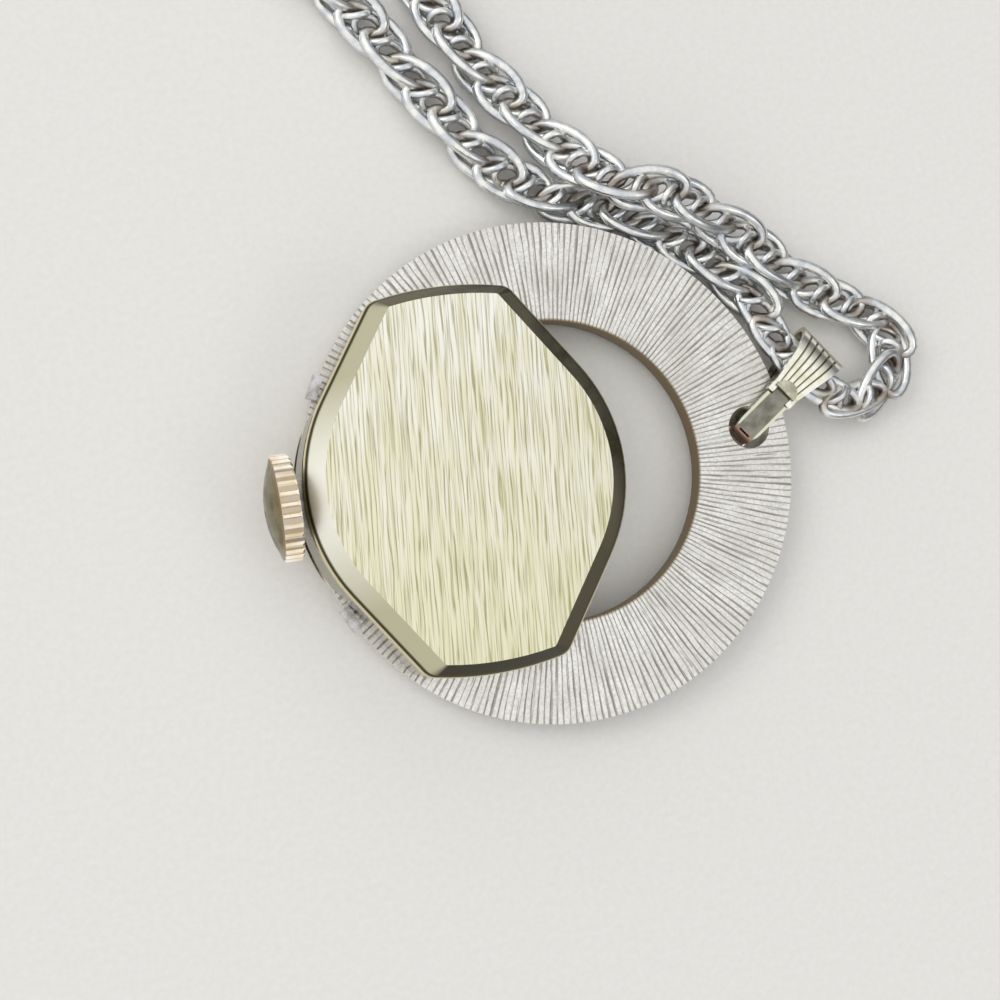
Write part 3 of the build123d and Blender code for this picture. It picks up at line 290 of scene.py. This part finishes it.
# %% Helpers for the finishes
def linear(hex_colour):
    """A screen colour such as #C0C0C0 as linear red, green, blue and alpha."""
    parts = [int(hex_colour[i:i + 2], 16) / 255 for i in (1, 3, 5)]
    return [c / 12.92 if c <= 0.04045 else ((c + 0.055) / 1.055) ** 2.4 for c in parts] + [1]


def add(tree, kind, inputs, **settings):
    """A new node with its settings, whose inputs take a value or another node's output."""
    node = tree.nodes.new("ShaderNode" + kind)
    for name, value in settings.items():
        setattr(node, name, value)
    for socket, value in inputs.items():
        if isinstance(value, bpy.types.NodeSocket):
            tree.links.new(value, node.inputs[socket])
        else:
            node.inputs[socket].default_value = value
    return node


def start_finish(name, **values):
    """A new material with its node tree and its shader, on which the fixed values are set."""
    material = bpy.data.materials.new(name)
    material.use_nodes = True
    shader = material.node_tree.nodes["Principled BSDF"]
    for socket, value in values.items():
        shader.inputs[socket.replace("_", " ")].default_value = value
    return material, material.node_tree, shader


def spread(tree, value, low, high, bottom=0.0, top=1.0):
    """A value stretched from one range to another and cut off at its ends."""
    inputs = {"Value": value, "From Min": low, "From Max": high, "To Min": bottom, "To Max": top}
    return add(tree, "MapRange", inputs).outputs[0]


def blend(tree, share, first, second):
    """A colour between two others, each a hex value or another node's output."""
    first, second = [linear(c) if isinstance(c, str) else c for c in (first, second)]
    return add(tree, "Mix", {0: share, 6: first, 7: second}, data_type="RGBA").outputs[2]


def grain(tree, stretch, detail=2.0, turn=0.0):
    """Noise whose grain has the given sizes in millimetres along X, Y and Z, turned about Z."""
    place = add(tree, "TexCoord", {}).outputs["Object"]
    scale = [1 / (size * mm) for size in stretch]
    turned = add(tree, "Mapping", {"Vector": place, "Rotation": (0, 0, math.radians(turn))})
    sized = add(tree, "Mapping", {"Vector": turned.outputs[0], "Scale": scale})
    return add(tree, "TexNoise", {"Vector": sized.outputs[0], "Scale": 1, "Detail": detail}).outputs[0]


def relief(tree, shader, height, depth, strength=1.0):
    """Bump of the given depth in millimetres."""
    bump = add(tree, "Bump", {"Height": height, "Distance": depth * mm, "Strength": strength})
    tree.links.new(bump.outputs[0], shader.inputs["Normal"])


def dress(material, *names):
    """Gives the finish to solid pieces."""
    for name in names:
        nodes[name].data.materials.clear()
        nodes[name].data.materials.append(material)


print("white turns into", linear("#FFFFFF"))

# %% [markdown]
# The ring plate is silver coloured metal with a florentine finish: short lines cut by hand, all of
# them towards the middle. A wave round the ring gives the lines, and noise bends and breaks them,
# because plain stripes would look printed. They are cut in the two flat faces only, so the way the
# surface looks keeps them off the edge.

# %% Florentine lines of the ring plate
line_count = 230
line_length = 3.2
line_bend = 7.0
ring_mean_radius = 12.8
florentine, tree, shader = start_finish("florentine_silver", Metallic=1.0)
place = add(tree, "TexCoord", {}).outputs["Object"]
centred = add(tree, "VectorMath", {0: place, 1: ring_middle}, operation="SUBTRACT").outputs[0]
flat = add(tree, "VectorMath", {0: centred, 1: level}, operation="MULTIPLY").outputs[0]
distance = add(tree, "VectorMath", {0: flat}, operation="LENGTH").outputs["Value"]
axes = add(tree, "SeparateXYZ", {0: flat}).outputs
angle = add(tree, "Math", {0: axes[1], 1: axes[0]}, operation="ARCTAN2").outputs[0]
lines = add(tree, "Math", {0: angle, 1: line_count}, operation="MULTIPLY").outputs[0]
beside = add(tree, "Math", {0: lines, 1: 0.5}, operation="MULTIPLY").outputs[0]
outward = add(tree, "Math", {0: distance, 1: 1 / (line_length * mm)}, operation="MULTIPLY").outputs[0]
polar = add(tree, "CombineXYZ", {0: beside, 1: outward}).outputs[0]
waver = add(tree, "TexNoise", {"Vector": polar, "Scale": 1, "Detail": 3}).outputs[0]
bent = add(tree, "Math", {0: waver, 1: line_bend, 2: lines}, operation="MULTIPLY_ADD").outputs[0]
cuts = add(tree, "Math", {0: bent}, operation="SINE").outputs[0]
clear = spread(tree, waver, 0.3, 0.6, 0.55, 1.0)
groove = add(tree, "Math", {0: spread(tree, cuts, 0.35, 1.0), 1: clear}, operation="MULTIPLY").outputs[0]
upward = add(tree, "SeparateXYZ", {0: add(tree, "TexCoord", {}).outputs["Normal"]}).outputs[2]
flatness = add(tree, "Math", {0: upward}, operation="ABSOLUTE").outputs[0]
on_face = spread(tree, flatness, 0.6, 0.9)
groove = add(tree, "Math", {0: groove, 1: on_face}, operation="MULTIPLY").outputs[0]
print("mm between two lines:", round(2 * math.pi * ring_mean_radius / line_count, 2))

# %% [markdown]
# Between the lines the silver is pale. Soft clouds and fine speckles stand for its grain. Dirt has
# settled in the lines, and old lacquer has gone brown along the inner edge.

# %% Silver of the ring plate
speckle_size = 0.16
lacquer_edge = (9.65 * mm, 9.82 * mm)
clouds = spread(tree, grain(tree, (3, 3, 3)), 0.35, 0.7)
metal = blend(tree, clouds, "#E6E4DE", "#FAF9F6")
speckle = spread(tree, grain(tree, [speckle_size] * 3), 0.62, 0.38, 0.0, 0.5)
metal = blend(tree, speckle, metal, "#C9C6BE")
cut_metal = blend(tree, groove, metal, "#958E83")
tarnish = spread(tree, distance, *lacquer_edge)
tree.links.new(blend(tree, tarnish, "#7A6645", cut_metal), shader.inputs["Base Color"])
tree.links.new(spread(tree, groove, 0, 1, 0.3, 0.5), shader.inputs["Roughness"])
relief(tree, shader, groove, -0.03, 0.5)
dress(florentine, "ring_plate")
print("lacquer shows inside this radius in mm:", round(lacquer_edge[1] / mm, 2))

# %% [markdown]
# The case back is pale yellow gold plate. Its flat face was brushed along the long axis of the
# case, and its bevel was polished. Both are one solid piece, so the direction of the surface tells
# them apart: the face looks straight up, and the bevel does not.
# Noise that is stretched along the brushing gives the face its grain, fine and wide.

# %% Brushed gold of the case back
brush_turn = 5.0
brush_size = (0.1, 5.0, 1)
wide_brush_size = (0.6, 9.0, 1)
lit_end, dim_end = 9 * mm, -9 * mm
back_gold, tree, shader = start_finish("brushed_gold", Metallic=1.0)
facing = add(tree, "SeparateXYZ", {0: add(tree, "TexCoord", {}).outputs["Normal"]}).outputs
is_face = spread(tree, facing[2], 0.96, 0.99)
place = add(tree, "TexCoord", {}).outputs["Object"]
along_case = add(tree, "SeparateXYZ", {0: place}).outputs[1]
gold = blend(tree, spread(tree, along_case, dim_end, lit_end), "#EFECD2", "#FEFDF6")
# The soft patches stand for pale blotches of reflected light on the face: painted reflection.
clouds = spread(tree, grain(tree, (4, 4, 4), 1.0), 0.35, 0.65)
gold = blend(tree, spread(tree, clouds, 0, 1, 0.35, 0.0), gold, "#E6E2BE")
wide_brush = grain(tree, wide_brush_size, 1.0, brush_turn)
gold = blend(tree, spread(tree, wide_brush, 0.55, 0.35, 0.0, 0.4), gold, "#E4E0B4")
brush = grain(tree, brush_size, 1.0, brush_turn)
gold = blend(tree, spread(tree, brush, 0.5, 0.35, 0.0, 0.5), gold, "#A39E6A")
print("grain of the brushing in mm:", brush_size[0], "by", brush_size[1])

# %% [markdown]
# The brush also leaves single scratches. A wave across the brushing gives them, and noise bends and
# fades them. Real scratches are finer and closer than this picture can show, so they are drawn
# 0.27 mm apart.

# %% Scratches of the brushing
scratch_spacing = 0.27
scratch_bend = 16.0
bend_size = (0.6, 7.0, 1)
fading_size = (0.3, 2.5, 1)
face_half_width = 8.7
inputs = {"Vector": place, "Rotation": (0, 0, math.radians(brush_turn))}
across = add(tree, "SeparateXYZ", {0: add(tree, "Mapping", inputs).outputs[0]}).outputs[0]
per_metre = 2 * math.pi / (scratch_spacing * mm)
lines = add(tree, "Math", {0: across, 1: per_metre}, operation="MULTIPLY").outputs[0]
waver = grain(tree, bend_size, 2.0, brush_turn)
bent = add(tree, "Math", {0: waver, 1: scratch_bend, 2: lines}, operation="MULTIPLY_ADD").outputs[0]
cuts = add(tree, "Math", {0: bent}, operation="SINE").outputs[0]
fading = spread(tree, grain(tree, fading_size, 1.0, brush_turn), 0.4, 0.6, 0.1, 0.85)
scratch = add(tree, "Math", {0: spread(tree, cuts, 0.3, 1.0), 1: fading}, operation="MULTIPLY").outputs[0]
gold = blend(tree, scratch, gold, "#A39E6A")
print("scratches across the face:", round(2 * face_half_width / scratch_spacing))

# %% [markdown]
# The bevel is painted bright beside the crown, as a painted highlight, and dark olive on its other sides,
# as a painted reflection of dark surroundings. A painted shade line runs along its foot, and the upright
# edge below that line is painted pale, as a painted highlight.
# Both are found by their height against the face. The finish then takes the face's colour and
# gloss where the surface looks straight up, and the bevel's elsewhere.

# %% Polished gold of the bevel
highlight_reach = (1.5 * mm, 7 * mm)
shade_line_top = (-1.08 * mm, -0.98 * mm)
highlight_edge_top = (-1.24 * mm, -1.18 * mm)
towards_crown = (-0.15, -0.5)
away_from_bail = (-0.2, -0.6)
back_top = max(corner[2] for corner in nodes["case_back"].bound_box)
height = add(tree, "SeparateXYZ", {0: place}).outputs[2]
height_above = add(tree, "Math", {0: height, 1: back_top}, operation="SUBTRACT").outputs[0]
from_middle = add(tree, "Math", {0: along_case}, operation="ABSOLUTE").outputs[0]
# Painted highlight on the crown's side of the bevel, and painted dark reflection on its other sides.
painted_highlight_bevel = blend(tree, spread(tree, from_middle, *highlight_reach), "#F6F5EA", "#C2BEA2")
dark_reflection_bevel = blend(tree, spread(tree, facing[1], *away_from_bail), "#625E46", "#3B3729")
bevel = blend(tree, spread(tree, facing[0], *towards_crown), dark_reflection_bevel, painted_highlight_bevel)
# A painted shade line at the foot of the bevel, and a painted highlight on the upright edge below it.
bevel = blend(tree, spread(tree, height_above, *shade_line_top), "#4A4534", bevel)
bevel = blend(tree, spread(tree, height_above, *highlight_edge_top), "#D6CDA8", bevel)
tree.links.new(blend(tree, is_face, bevel, gold), shader.inputs["Base Color"])
brushed = spread(tree, brush, 0.3, 0.7, 0.3, 0.42)
worn_smooth = spread(tree, facing[0], *towards_crown, 0.16, 0.45)
polish = add(tree, "Mix", {0: is_face, 2: worn_smooth, 3: brushed}).outputs[0]
tree.links.new(polish, shader.inputs["Roughness"])
marks = add(tree, "Math", {0: brush, 1: is_face}, operation="MULTIPLY").outputs[0]
relief(tree, shader, marks, 0.015, 0.6)
dress(back_gold, "case_back")
print("height of the face in mm:", round(back_top / mm, 2))

# %% [markdown]
# Polished and satin metals differ in two things only: how sharp they reflect, and how far age and
# handling have dulled them in patches. One function makes each of them from its bright colour, its
# dull colour, the size of its patches in millimetres and its roughness.

# %% Plain metals
rubbing_size = 0.15


def worn_metal(name, bright, dull, patch, roughness):
    """A metal with dull patches and fine rubbing marks."""
    material, tree, shader = start_finish(name, Metallic=1.0)
    patches = spread(tree, grain(tree, [patch] * 3, 3.0), 0.38, 0.62)
    tree.links.new(blend(tree, patches, dull, bright), shader.inputs["Base Color"])
    rubbed = grain(tree, [rubbing_size] * 3, 2.0)
    rough = spread(tree, rubbed, 0.3, 0.7, roughness * 0.75, roughness * 1.25)
    tree.links.new(rough, shader.inputs["Roughness"])
    relief(tree, shader, rubbed, 0.004, 0.3)
    return material


# The case body and stem tube are painted dark olive: painted shade and painted reflection of dark
# surroundings on the gold.
painted_shade_case_gold = worn_metal("painted_shade_gold", "#7E775B", "#69634A", 4.0, 0.16)
bezel_gold = worn_metal("bezel_gold", "#E2DED0", "#CFCAB4", 3.0, 0.14)
dress(painted_shade_case_gold, "case_body", "stem_tube")
dress(bezel_gold, "bezel")
steel = worn_metal("polished_steel", "#C9CCD0", "#A7A9AD", 0.6, 0.18)
dress(steel, "winding_stem", "bail_pin", "bridge_screws", "crown_wheel_screw", "winding_pinion",
      "stem_bush", "cannon_pinion", "escape_wheel", "pallet_fork")
gilt = worn_metal("gilt_brass", "#D9B96A", "#B9954A", 0.8, 0.28)
dress(gilt, "centre_wheel", "third_wheel", "fourth_wheel", "minute_wheel", "hour_wheel",
      "balance_wheel", "mainspring_barrel", "hour_markers")
satin = worn_metal("satin_holder", "#A9A8A4", "#8B8A86", 1.0, 0.4)
dress(satin, "movement_holder", "dial_spacer")
end_silver = worn_metal("silver_fittings", "#D3D3D6", "#A8A39B", 0.7, 0.2)
dress(end_silver, "end_ring", "jump_ring", "clasp_body", "clasp_slide", "ring_lug_upper", "ring_lug_lower")
plain_metals = [painted_shade_case_gold, bezel_gold, steel, gilt, satin, end_silver]
print("plain metals:", [metal.name for metal in plain_metals])

# %% [markdown]
# The crown is pinker than the case, because the plating has worn to the brass under it. Grime sits
# between its flutes. The distance from the stem's axis tells a flute's top from its bottom.

# %% Pinkish gold of the crown
crown_outside = 3.25
flute_depth = 0.17
flute_sides = ((crown_outside - 1.2 * flute_depth) * mm, (crown_outside - 0.8 * flute_depth) * mm)
dome_edge = (2.7 * mm, 2.8 * mm)
crown_gold, tree, shader = start_finish("worn_crown_gold", Metallic=1.0)
place = add(tree, "TexCoord", {}).outputs["Object"]
inputs = {0: place, 1: joint_places["crown_spin"]}
centred = add(tree, "VectorMath", inputs, operation="SUBTRACT").outputs[0]
across = add(tree, "VectorMath", {0: centred, 1: (0, 1, 1)}, operation="MULTIPLY").outputs[0]
distance = add(tree, "VectorMath", {0: across}, operation="LENGTH").outputs["Value"]
on_band = spread(tree, distance, *dome_edge)
flute_top = spread(tree, distance, *flute_sides)
patches = spread(tree, grain(tree, (1.2, 1.2, 1.2)), 0.35, 0.65)
pink = blend(tree, patches, "#F6E6C8", "#FDF7EA")
band = blend(tree, flute_top, "#8A6F48", pink)
face = blend(tree, patches, "#5F583F", "#857C5A")
tree.links.new(blend(tree, on_band, face, band), shader.inputs["Base Color"])
tree.links.new(spread(tree, patches, 0, 1, 0.32, 0.22), shader.inputs["Roughness"])
dress(crown_gold, "crown")
print("flute depth in mm:", flute_depth)

# %% [markdown]
# The bail is one folded strap. Its fan has five cuts that spread from a point below the hinge and
# have gone dark green. A wave with six turns across the fan has five dark lines inside its edges,
# and the edges stay bright. The far rim has worn to the brass.

# %% Fluted gold of the bail
bail_hole = joint_places["bail_swing"]
bail_turn = (0, 0, math.radians(37.1))
fan_apex = -2.101 * mm
fan_half_angle = math.radians(10.68)
turns_across_fan = 6
fan_start = (3.2 * mm, 3.5 * mm)
brown_rim = (7.0 * mm, 7.9 * mm)


def along_bail(tree):
    """Where a point lies along and across the bail, from the middle of its hole."""
    place = add(tree, "TexCoord", {}).outputs["Object"]
    inputs = {"Vector": place, "Location": bail_hole, "Rotation": bail_turn}
    local = add(tree, "Mapping", inputs, vector_type="TEXTURE").outputs[0]
    return add(tree, "SeparateXYZ", {0: local}).outputs


bail_gold, tree, shader = start_finish("fluted_gold", Metallic=1.0)
local = along_bail(tree)
from_apex = add(tree, "Math", {0: local[0], 1: fan_apex}, operation="SUBTRACT").outputs[0]
angle = add(tree, "Math", {0: local[1], 1: from_apex}, operation="ARCTAN2").outputs[0]
per_radian = turns_across_fan * math.pi / fan_half_angle
cuts = add(tree, "Math", {0: angle, 1: per_radian}, operation="MULTIPLY").outputs[0]
wave = add(tree, "Math", {0: cuts}, operation="COSINE").outputs[0]
size = add(tree, "Math", {0: angle}, operation="ABSOLUTE").outputs[0]
inside = spread(tree, size, 0.9 * fan_half_angle, 0.8 * fan_half_angle)
on_fan = spread(tree, local[0], *fan_start)
dark = add(tree, "Math", {0: spread(tree, wave, 0.45, 0.95), 1: inside}, operation="MULTIPLY").outputs[0]
dark = add(tree, "Math", {0: dark, 1: on_fan}, operation="MULTIPLY").outputs[0]
patches = spread(tree, grain(tree, (0.8, 0.8, 0.8)), 0.35, 0.65)
gold = blend(tree, patches, "#E9E6CF", "#FBFAF2")
gold = blend(tree, dark, gold, "#605D45")
rim = spread(tree, local[0], *brown_rim)
tree.links.new(blend(tree, rim, gold, "#BE9A66"), shader.inputs["Base Color"])
tree.links.new(spread(tree, patches, 0, 1, 0.26, 0.16), shader.inputs["Roughness"])
dress(bail_gold, "bail_shell")
print("fan angle in degrees:", round(2 * math.degrees(fan_half_angle), 1))

# %% [markdown]
# The tongue is a plain strap whose flat top has gone grey, with painted highlights along its edges as
# bright rails, and a coppery tip. The tab beside it has kept its gold.

# %% Greyed gold of the tongue
edge_highlight_start = (0.62 * mm, 0.7 * mm)
coppery_tip = (-0.35 * mm, -0.5 * mm)
tongue_gold, tree, shader = start_finish("greyed_gold", Metallic=1.0)
local = along_bail(tree)
patches = spread(tree, grain(tree, (0.7, 0.7, 0.7)), 0.35, 0.65)
flat_top = blend(tree, patches, "#737266", "#929084")
from_axis = add(tree, "Math", {0: local[1]}, operation="ABSOLUTE").outputs[0]
# The bright rails along the edges are painted highlights.
edge_highlight = spread(tree, from_axis, *edge_highlight_start)
strap = blend(tree, edge_highlight, flat_top, "#DEDDC6")
tip = spread(tree, local[0], *coppery_tip)
tree.links.new(blend(tree, tip, strap, "#A88A7A"), shader.inputs["Base Color"])
tree.links.new(spread(tree, patches, 0, 1, 0.28, 0.2), shader.inputs["Roughness"])
dress(tongue_gold, "tongue")
tab_gold = worn_metal("tab_gold", "#CFCDB6", "#A5A38D", 0.6, 0.2)
dress(tab_gold, "bail_tab")
print("rails of the tongue start this far from its axis in mm:", round(edge_highlight_start[0] / mm, 2))

# %% [markdown]
# The chain is silver coloured too, but it was tumbled smooth, so its wires show long cold highlights.
# Inside the chain the finish is painted brown: painted shade where the links hide each other, with some
# tarnish. The mesh carries each point's distance from the middle of the chain, and the finish goes brown
# where it is small. The distance is a share of the chain's radius.

# %% Silver of the chain
shade_inside, unshaded_outside = 0.15, 0.65
chain_silver, tree, shader = start_finish("tumbled_silver", Metallic=1.0)
inside = add(tree, "Attribute", {}, attribute_name="distance_from_middle").outputs["Fac"]
# Where a point lies deep inside the chain it is painted brown: painted shade of the links on each other,
# with some tarnish.
rubbed = spread(tree, inside, shade_inside, unshaded_outside)
patches = spread(tree, grain(tree, (0.9, 0.9, 0.9)), 0.35, 0.65)
silver = blend(tree, patches, "#CDD1D6", "#F3F3EE")
tarnish_and_shade = blend(tree, patches, "#6A5545", "#A9A092")
tree.links.new(blend(tree, rubbed, tarnish_and_shade, silver), shader.inputs["Base Color"])
tree.links.new(spread(tree, inside, 0.2, 0.8, 0.45, 0.27), shader.inputs["Roughness"])
chain.data.materials.append(chain_silver)
bright_points = sum(value > unshaded_outside * chain_radius * mm for value in depths)
print("share of the chain's points that are bright:", round(bright_points / len(depths), 2))

# %% [markdown]
# Inside the case, the plate and the bridges are nickel plated and have parallel stripes, as a
# maker's wheel leaves them. The stripes here are 0.9 mm wide. They show only when the back is off.

# %% Striped nickel of the movement
stripe_width = 0.9
stripe_turn = 30.0
plate_low, plate_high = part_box("main_plate")
nickel, tree, shader = start_finish("striped_nickel", Metallic=1.0)
place = add(tree, "TexCoord", {}).outputs["Object"]
turn, scale = (0, 0, math.radians(stripe_turn)), [1 / (stripe_width * mm)] * 3
striped = add(tree, "Mapping", {"Vector": place, "Rotation": turn, "Scale": scale}).outputs[0]
axes = add(tree, "SeparateXYZ", {0: striped}).outputs
stripe = add(tree, "Math", {0: axes[0]}, operation="FRACT").outputs[0]
fine = grain(tree, (0.05, 0.9, 1), 2.0, stripe_turn)
tree.links.new(blend(tree, stripe, "#A9A69C", "#D8D6CE"), shader.inputs["Base Color"])
tree.links.new(spread(tree, fine, 0.3, 0.7, 0.2, 0.34), shader.inputs["Roughness"])
relief(tree, shader, stripe, 0.01, 0.5)
dress(nickel, "main_plate", "barrel_bridge", "train_bridge", "balance_cock", "pallet_cock")
print("stripes across the movement:", round((plate_high.x - plate_low.x) / mm / stripe_width))

# %% [markdown]
# The two large winding wheels are steel, and their tops are snailed: a small wheel has ground fine
# rings round the middle. A wave of the distance from the ratchet wheel's axis gives the rings.

# %% Snailed steel of the winding wheels
snail_spacing = 0.3
snailed, tree, shader = start_finish("snailed_steel", Metallic=1.0)
place = add(tree, "TexCoord", {}).outputs["Object"]
ratchet_middle = joint_places["ratchet_spin"] * level
distance = add(tree, "VectorMath", {0: place, 1: ratchet_middle}, operation="DISTANCE").outputs["Value"]
per_metre = 2 * math.pi / (snail_spacing * mm)
rings = add(tree, "Math", {0: distance, 1: per_metre}, operation="MULTIPLY").outputs[0]
wave = add(tree, "Math", {0: rings}, operation="SINE").outputs[0]
tree.links.new(blend(tree, spread(tree, wave, -1, 1), "#9DA0A4", "#C6C9CD"), shader.inputs["Base Color"])
tree.links.new(spread(tree, wave, -1, 1, 0.16, 0.3), shader.inputs["Roughness"])
dress(snailed, "ratchet_wheel", "crown_wheel")
print("mm between two rings:", snail_spacing)

# %% [markdown]
# The crystal is clear acrylic, with fine scratches from wear. The dial under it has a silvered coat
# that was brushed out from its middle, so the light runs round it in rays. Noise of the angle alone
# gives rays, because nothing in it changes on the way out.

# %% Crystal and dial
ray_count = 60
acrylic, tree, shader = start_finish(
    "clear_acrylic", Base_Color=linear("#F4F7F8"), IOR=1.49, Transmission_Weight=1.0)
scratches = grain(tree, (0.05, 2.5, 1), 2.0, 20.0)
tree.links.new(spread(tree, scratches, 0.55, 0.75, 0.02, 0.12), shader.inputs["Roughness"])
dress(acrylic, "crystal")

silvered, tree, shader = start_finish(
    "silvered_dial", Metallic=0.6, Coat_Weight=0.3, Coat_Roughness=0.1)
place = add(tree, "TexCoord", {}).outputs["Object"]
inputs = {0: place, 1: joint_places["hour_spin"]}
centred = add(tree, "VectorMath", inputs, operation="SUBTRACT").outputs[0]
axes = add(tree, "SeparateXYZ", {0: centred}).outputs
angle = add(tree, "Math", {0: axes[1], 1: axes[0]}, operation="ARCTAN2").outputs[0]
rays = add(tree, "Math", {0: angle, 1: ray_count}, operation="MULTIPLY").outputs[0]
ray_place = add(tree, "CombineXYZ", {0: rays}).outputs[0]
sunburst = add(tree, "TexNoise", {"Vector": ray_place, "Scale": 1}).outputs[0]
silver = blend(tree, spread(tree, sunburst, 0.35, 0.65), "#D9D6CC", "#F1EFE8")
tree.links.new(silver, shader.inputs["Base Color"])
tree.links.new(spread(tree, sunburst, 0.3, 0.7, 0.45, 0.32), shader.inputs["Roughness"])
dress(silvered, "dial")
print("rays round the dial:", round(2 * math.pi * ray_count))

# %% [markdown]
# The last few are not bare metal either. The hands are lacquered black, the hairspring is blued by
# heat, the jewels are synthetic ruby, and the gasket is black rubber. They are small, so one
# function gives each of them a little change of colour and gloss.

# %% Hands, hairspring, jewels and gasket
def coated(name, light, dark, patch, low, high, **values):
    """A finish that is not bare metal, with a little change of colour and gloss."""
    material, tree, shader = start_finish(name, **values)
    patches = spread(tree, grain(tree, [patch] * 3), 0.35, 0.65)
    tree.links.new(blend(tree, patches, dark, light), shader.inputs["Base Color"])
    tree.links.new(spread(tree, patches, 0, 1, low, high), shader.inputs["Roughness"])
    return material


lacquer = coated("black_lacquer", "#17171A", "#0B0B0D", 0.5, 0.15, 0.25, Coat_Weight=0.5)
dress(lacquer, "hour_hand", "minute_hand")
blued = coated("blued_steel", "#2C3F7A", "#1B2450", 0.3, 0.18, 0.3, Metallic=1.0)
dress(blued, "hairspring")
ruby = coated("synthetic_ruby", "#C2183C", "#9A0F2C", 0.2, 0.03, 0.06, IOR=1.76, Transmission_Weight=0.6)
dress(ruby, "jewels")
rubber = coated("gasket_rubber", "#1C1C1C", "#101010", 0.4, 0.55, 0.7, IOR=1.52)
dress(rubber, "back_gasket")
bare = [name for name, node in nodes.items() if not node.hide_render and not node.data.materials]
print("pieces without a finish:", bare)

# %% [markdown]
# A plain pale table takes the shadow. It lies a little under the pendant, so the two never share a
# face.

# %% Table
table_half = 1.5
table_height = -0.02 * mm
signs = [(-1, -1), (1, -1), (1, 1), (-1, 1)]
corners = [(x * table_half, y * table_half, table_height) for x, y in signs]
table_top = mesh_piece("table_top", corners, [(0, 1, 2, 3)])
paper, tree, shader = start_finish("pale_paper")
fibres = spread(tree, grain(tree, (0.4, 0.4, 0.4)), 0.3, 0.7)
tree.links.new(blend(tree, fibres, "#E4E2DD", "#E9E7E3"), shader.inputs["Base Color"])
tree.links.new(spread(tree, fibres, 0, 1, 0.7, 0.85), shader.inputs["Roughness"])
table_top.data.materials.append(paper)
print("table in m:", 2 * table_half)

# %% [markdown]
# The world is a soft tent: bright on the crown's side and greyer on the other, so that a polished
# bevel shows a light side and a dark side, which is how the eye reads it as metal.

# %% Tent
world = bpy.data.worlds.new("tent")
bpy.context.scene.world = world
world.use_nodes = True
tree = world.node_tree
bright_side = (-0.7, 0.1, 0.7)
direction = add(tree, "TexCoord", {}).outputs["Generated"]
inputs = {0: direction, 1: bright_side}
towards = add(tree, "VectorMath", inputs, operation="DOT_PRODUCT").outputs["Value"]
tent = blend(tree, spread(tree, towards, -0.3, 0.45), "#77777A", "#FFFFFF")
tree.links.new(tent, tree.nodes["Background"].inputs["Color"])
tree.nodes["Background"].inputs["Strength"].default_value = 1.0
print("bright side of the tent:", bright_side)

# %% [markdown]
# Two large lamps give the soft shadow. Tent and lamps together are close to the level at which a
# colour renders as bright as it is written.

# %% Lamps
def lamp(name, place, size, power):
    """A square lamp that looks at the middle of the watch."""
    data = bpy.data.lights.new(name, "AREA")
    data.size = size
    data.energy = power
    piece = bpy.data.objects.new(name, data)
    piece.location = place
    piece.rotation_mode = "QUATERNION"
    piece.rotation_quaternion = (-Vector(place)).to_track_quat("-Z", "Y")
    bpy.context.scene.collection.objects.link(piece)


lamp("window_lamp", (-0.45, 0.3, 0.5), 0.35, 0.9)
lamp("fill_lamp", (0.4, -0.35, 0.6), 0.3, 0.35)
bpy.context.scene.view_settings.view_transform = "Standard"
print("lamps:", len(bpy.data.lights))
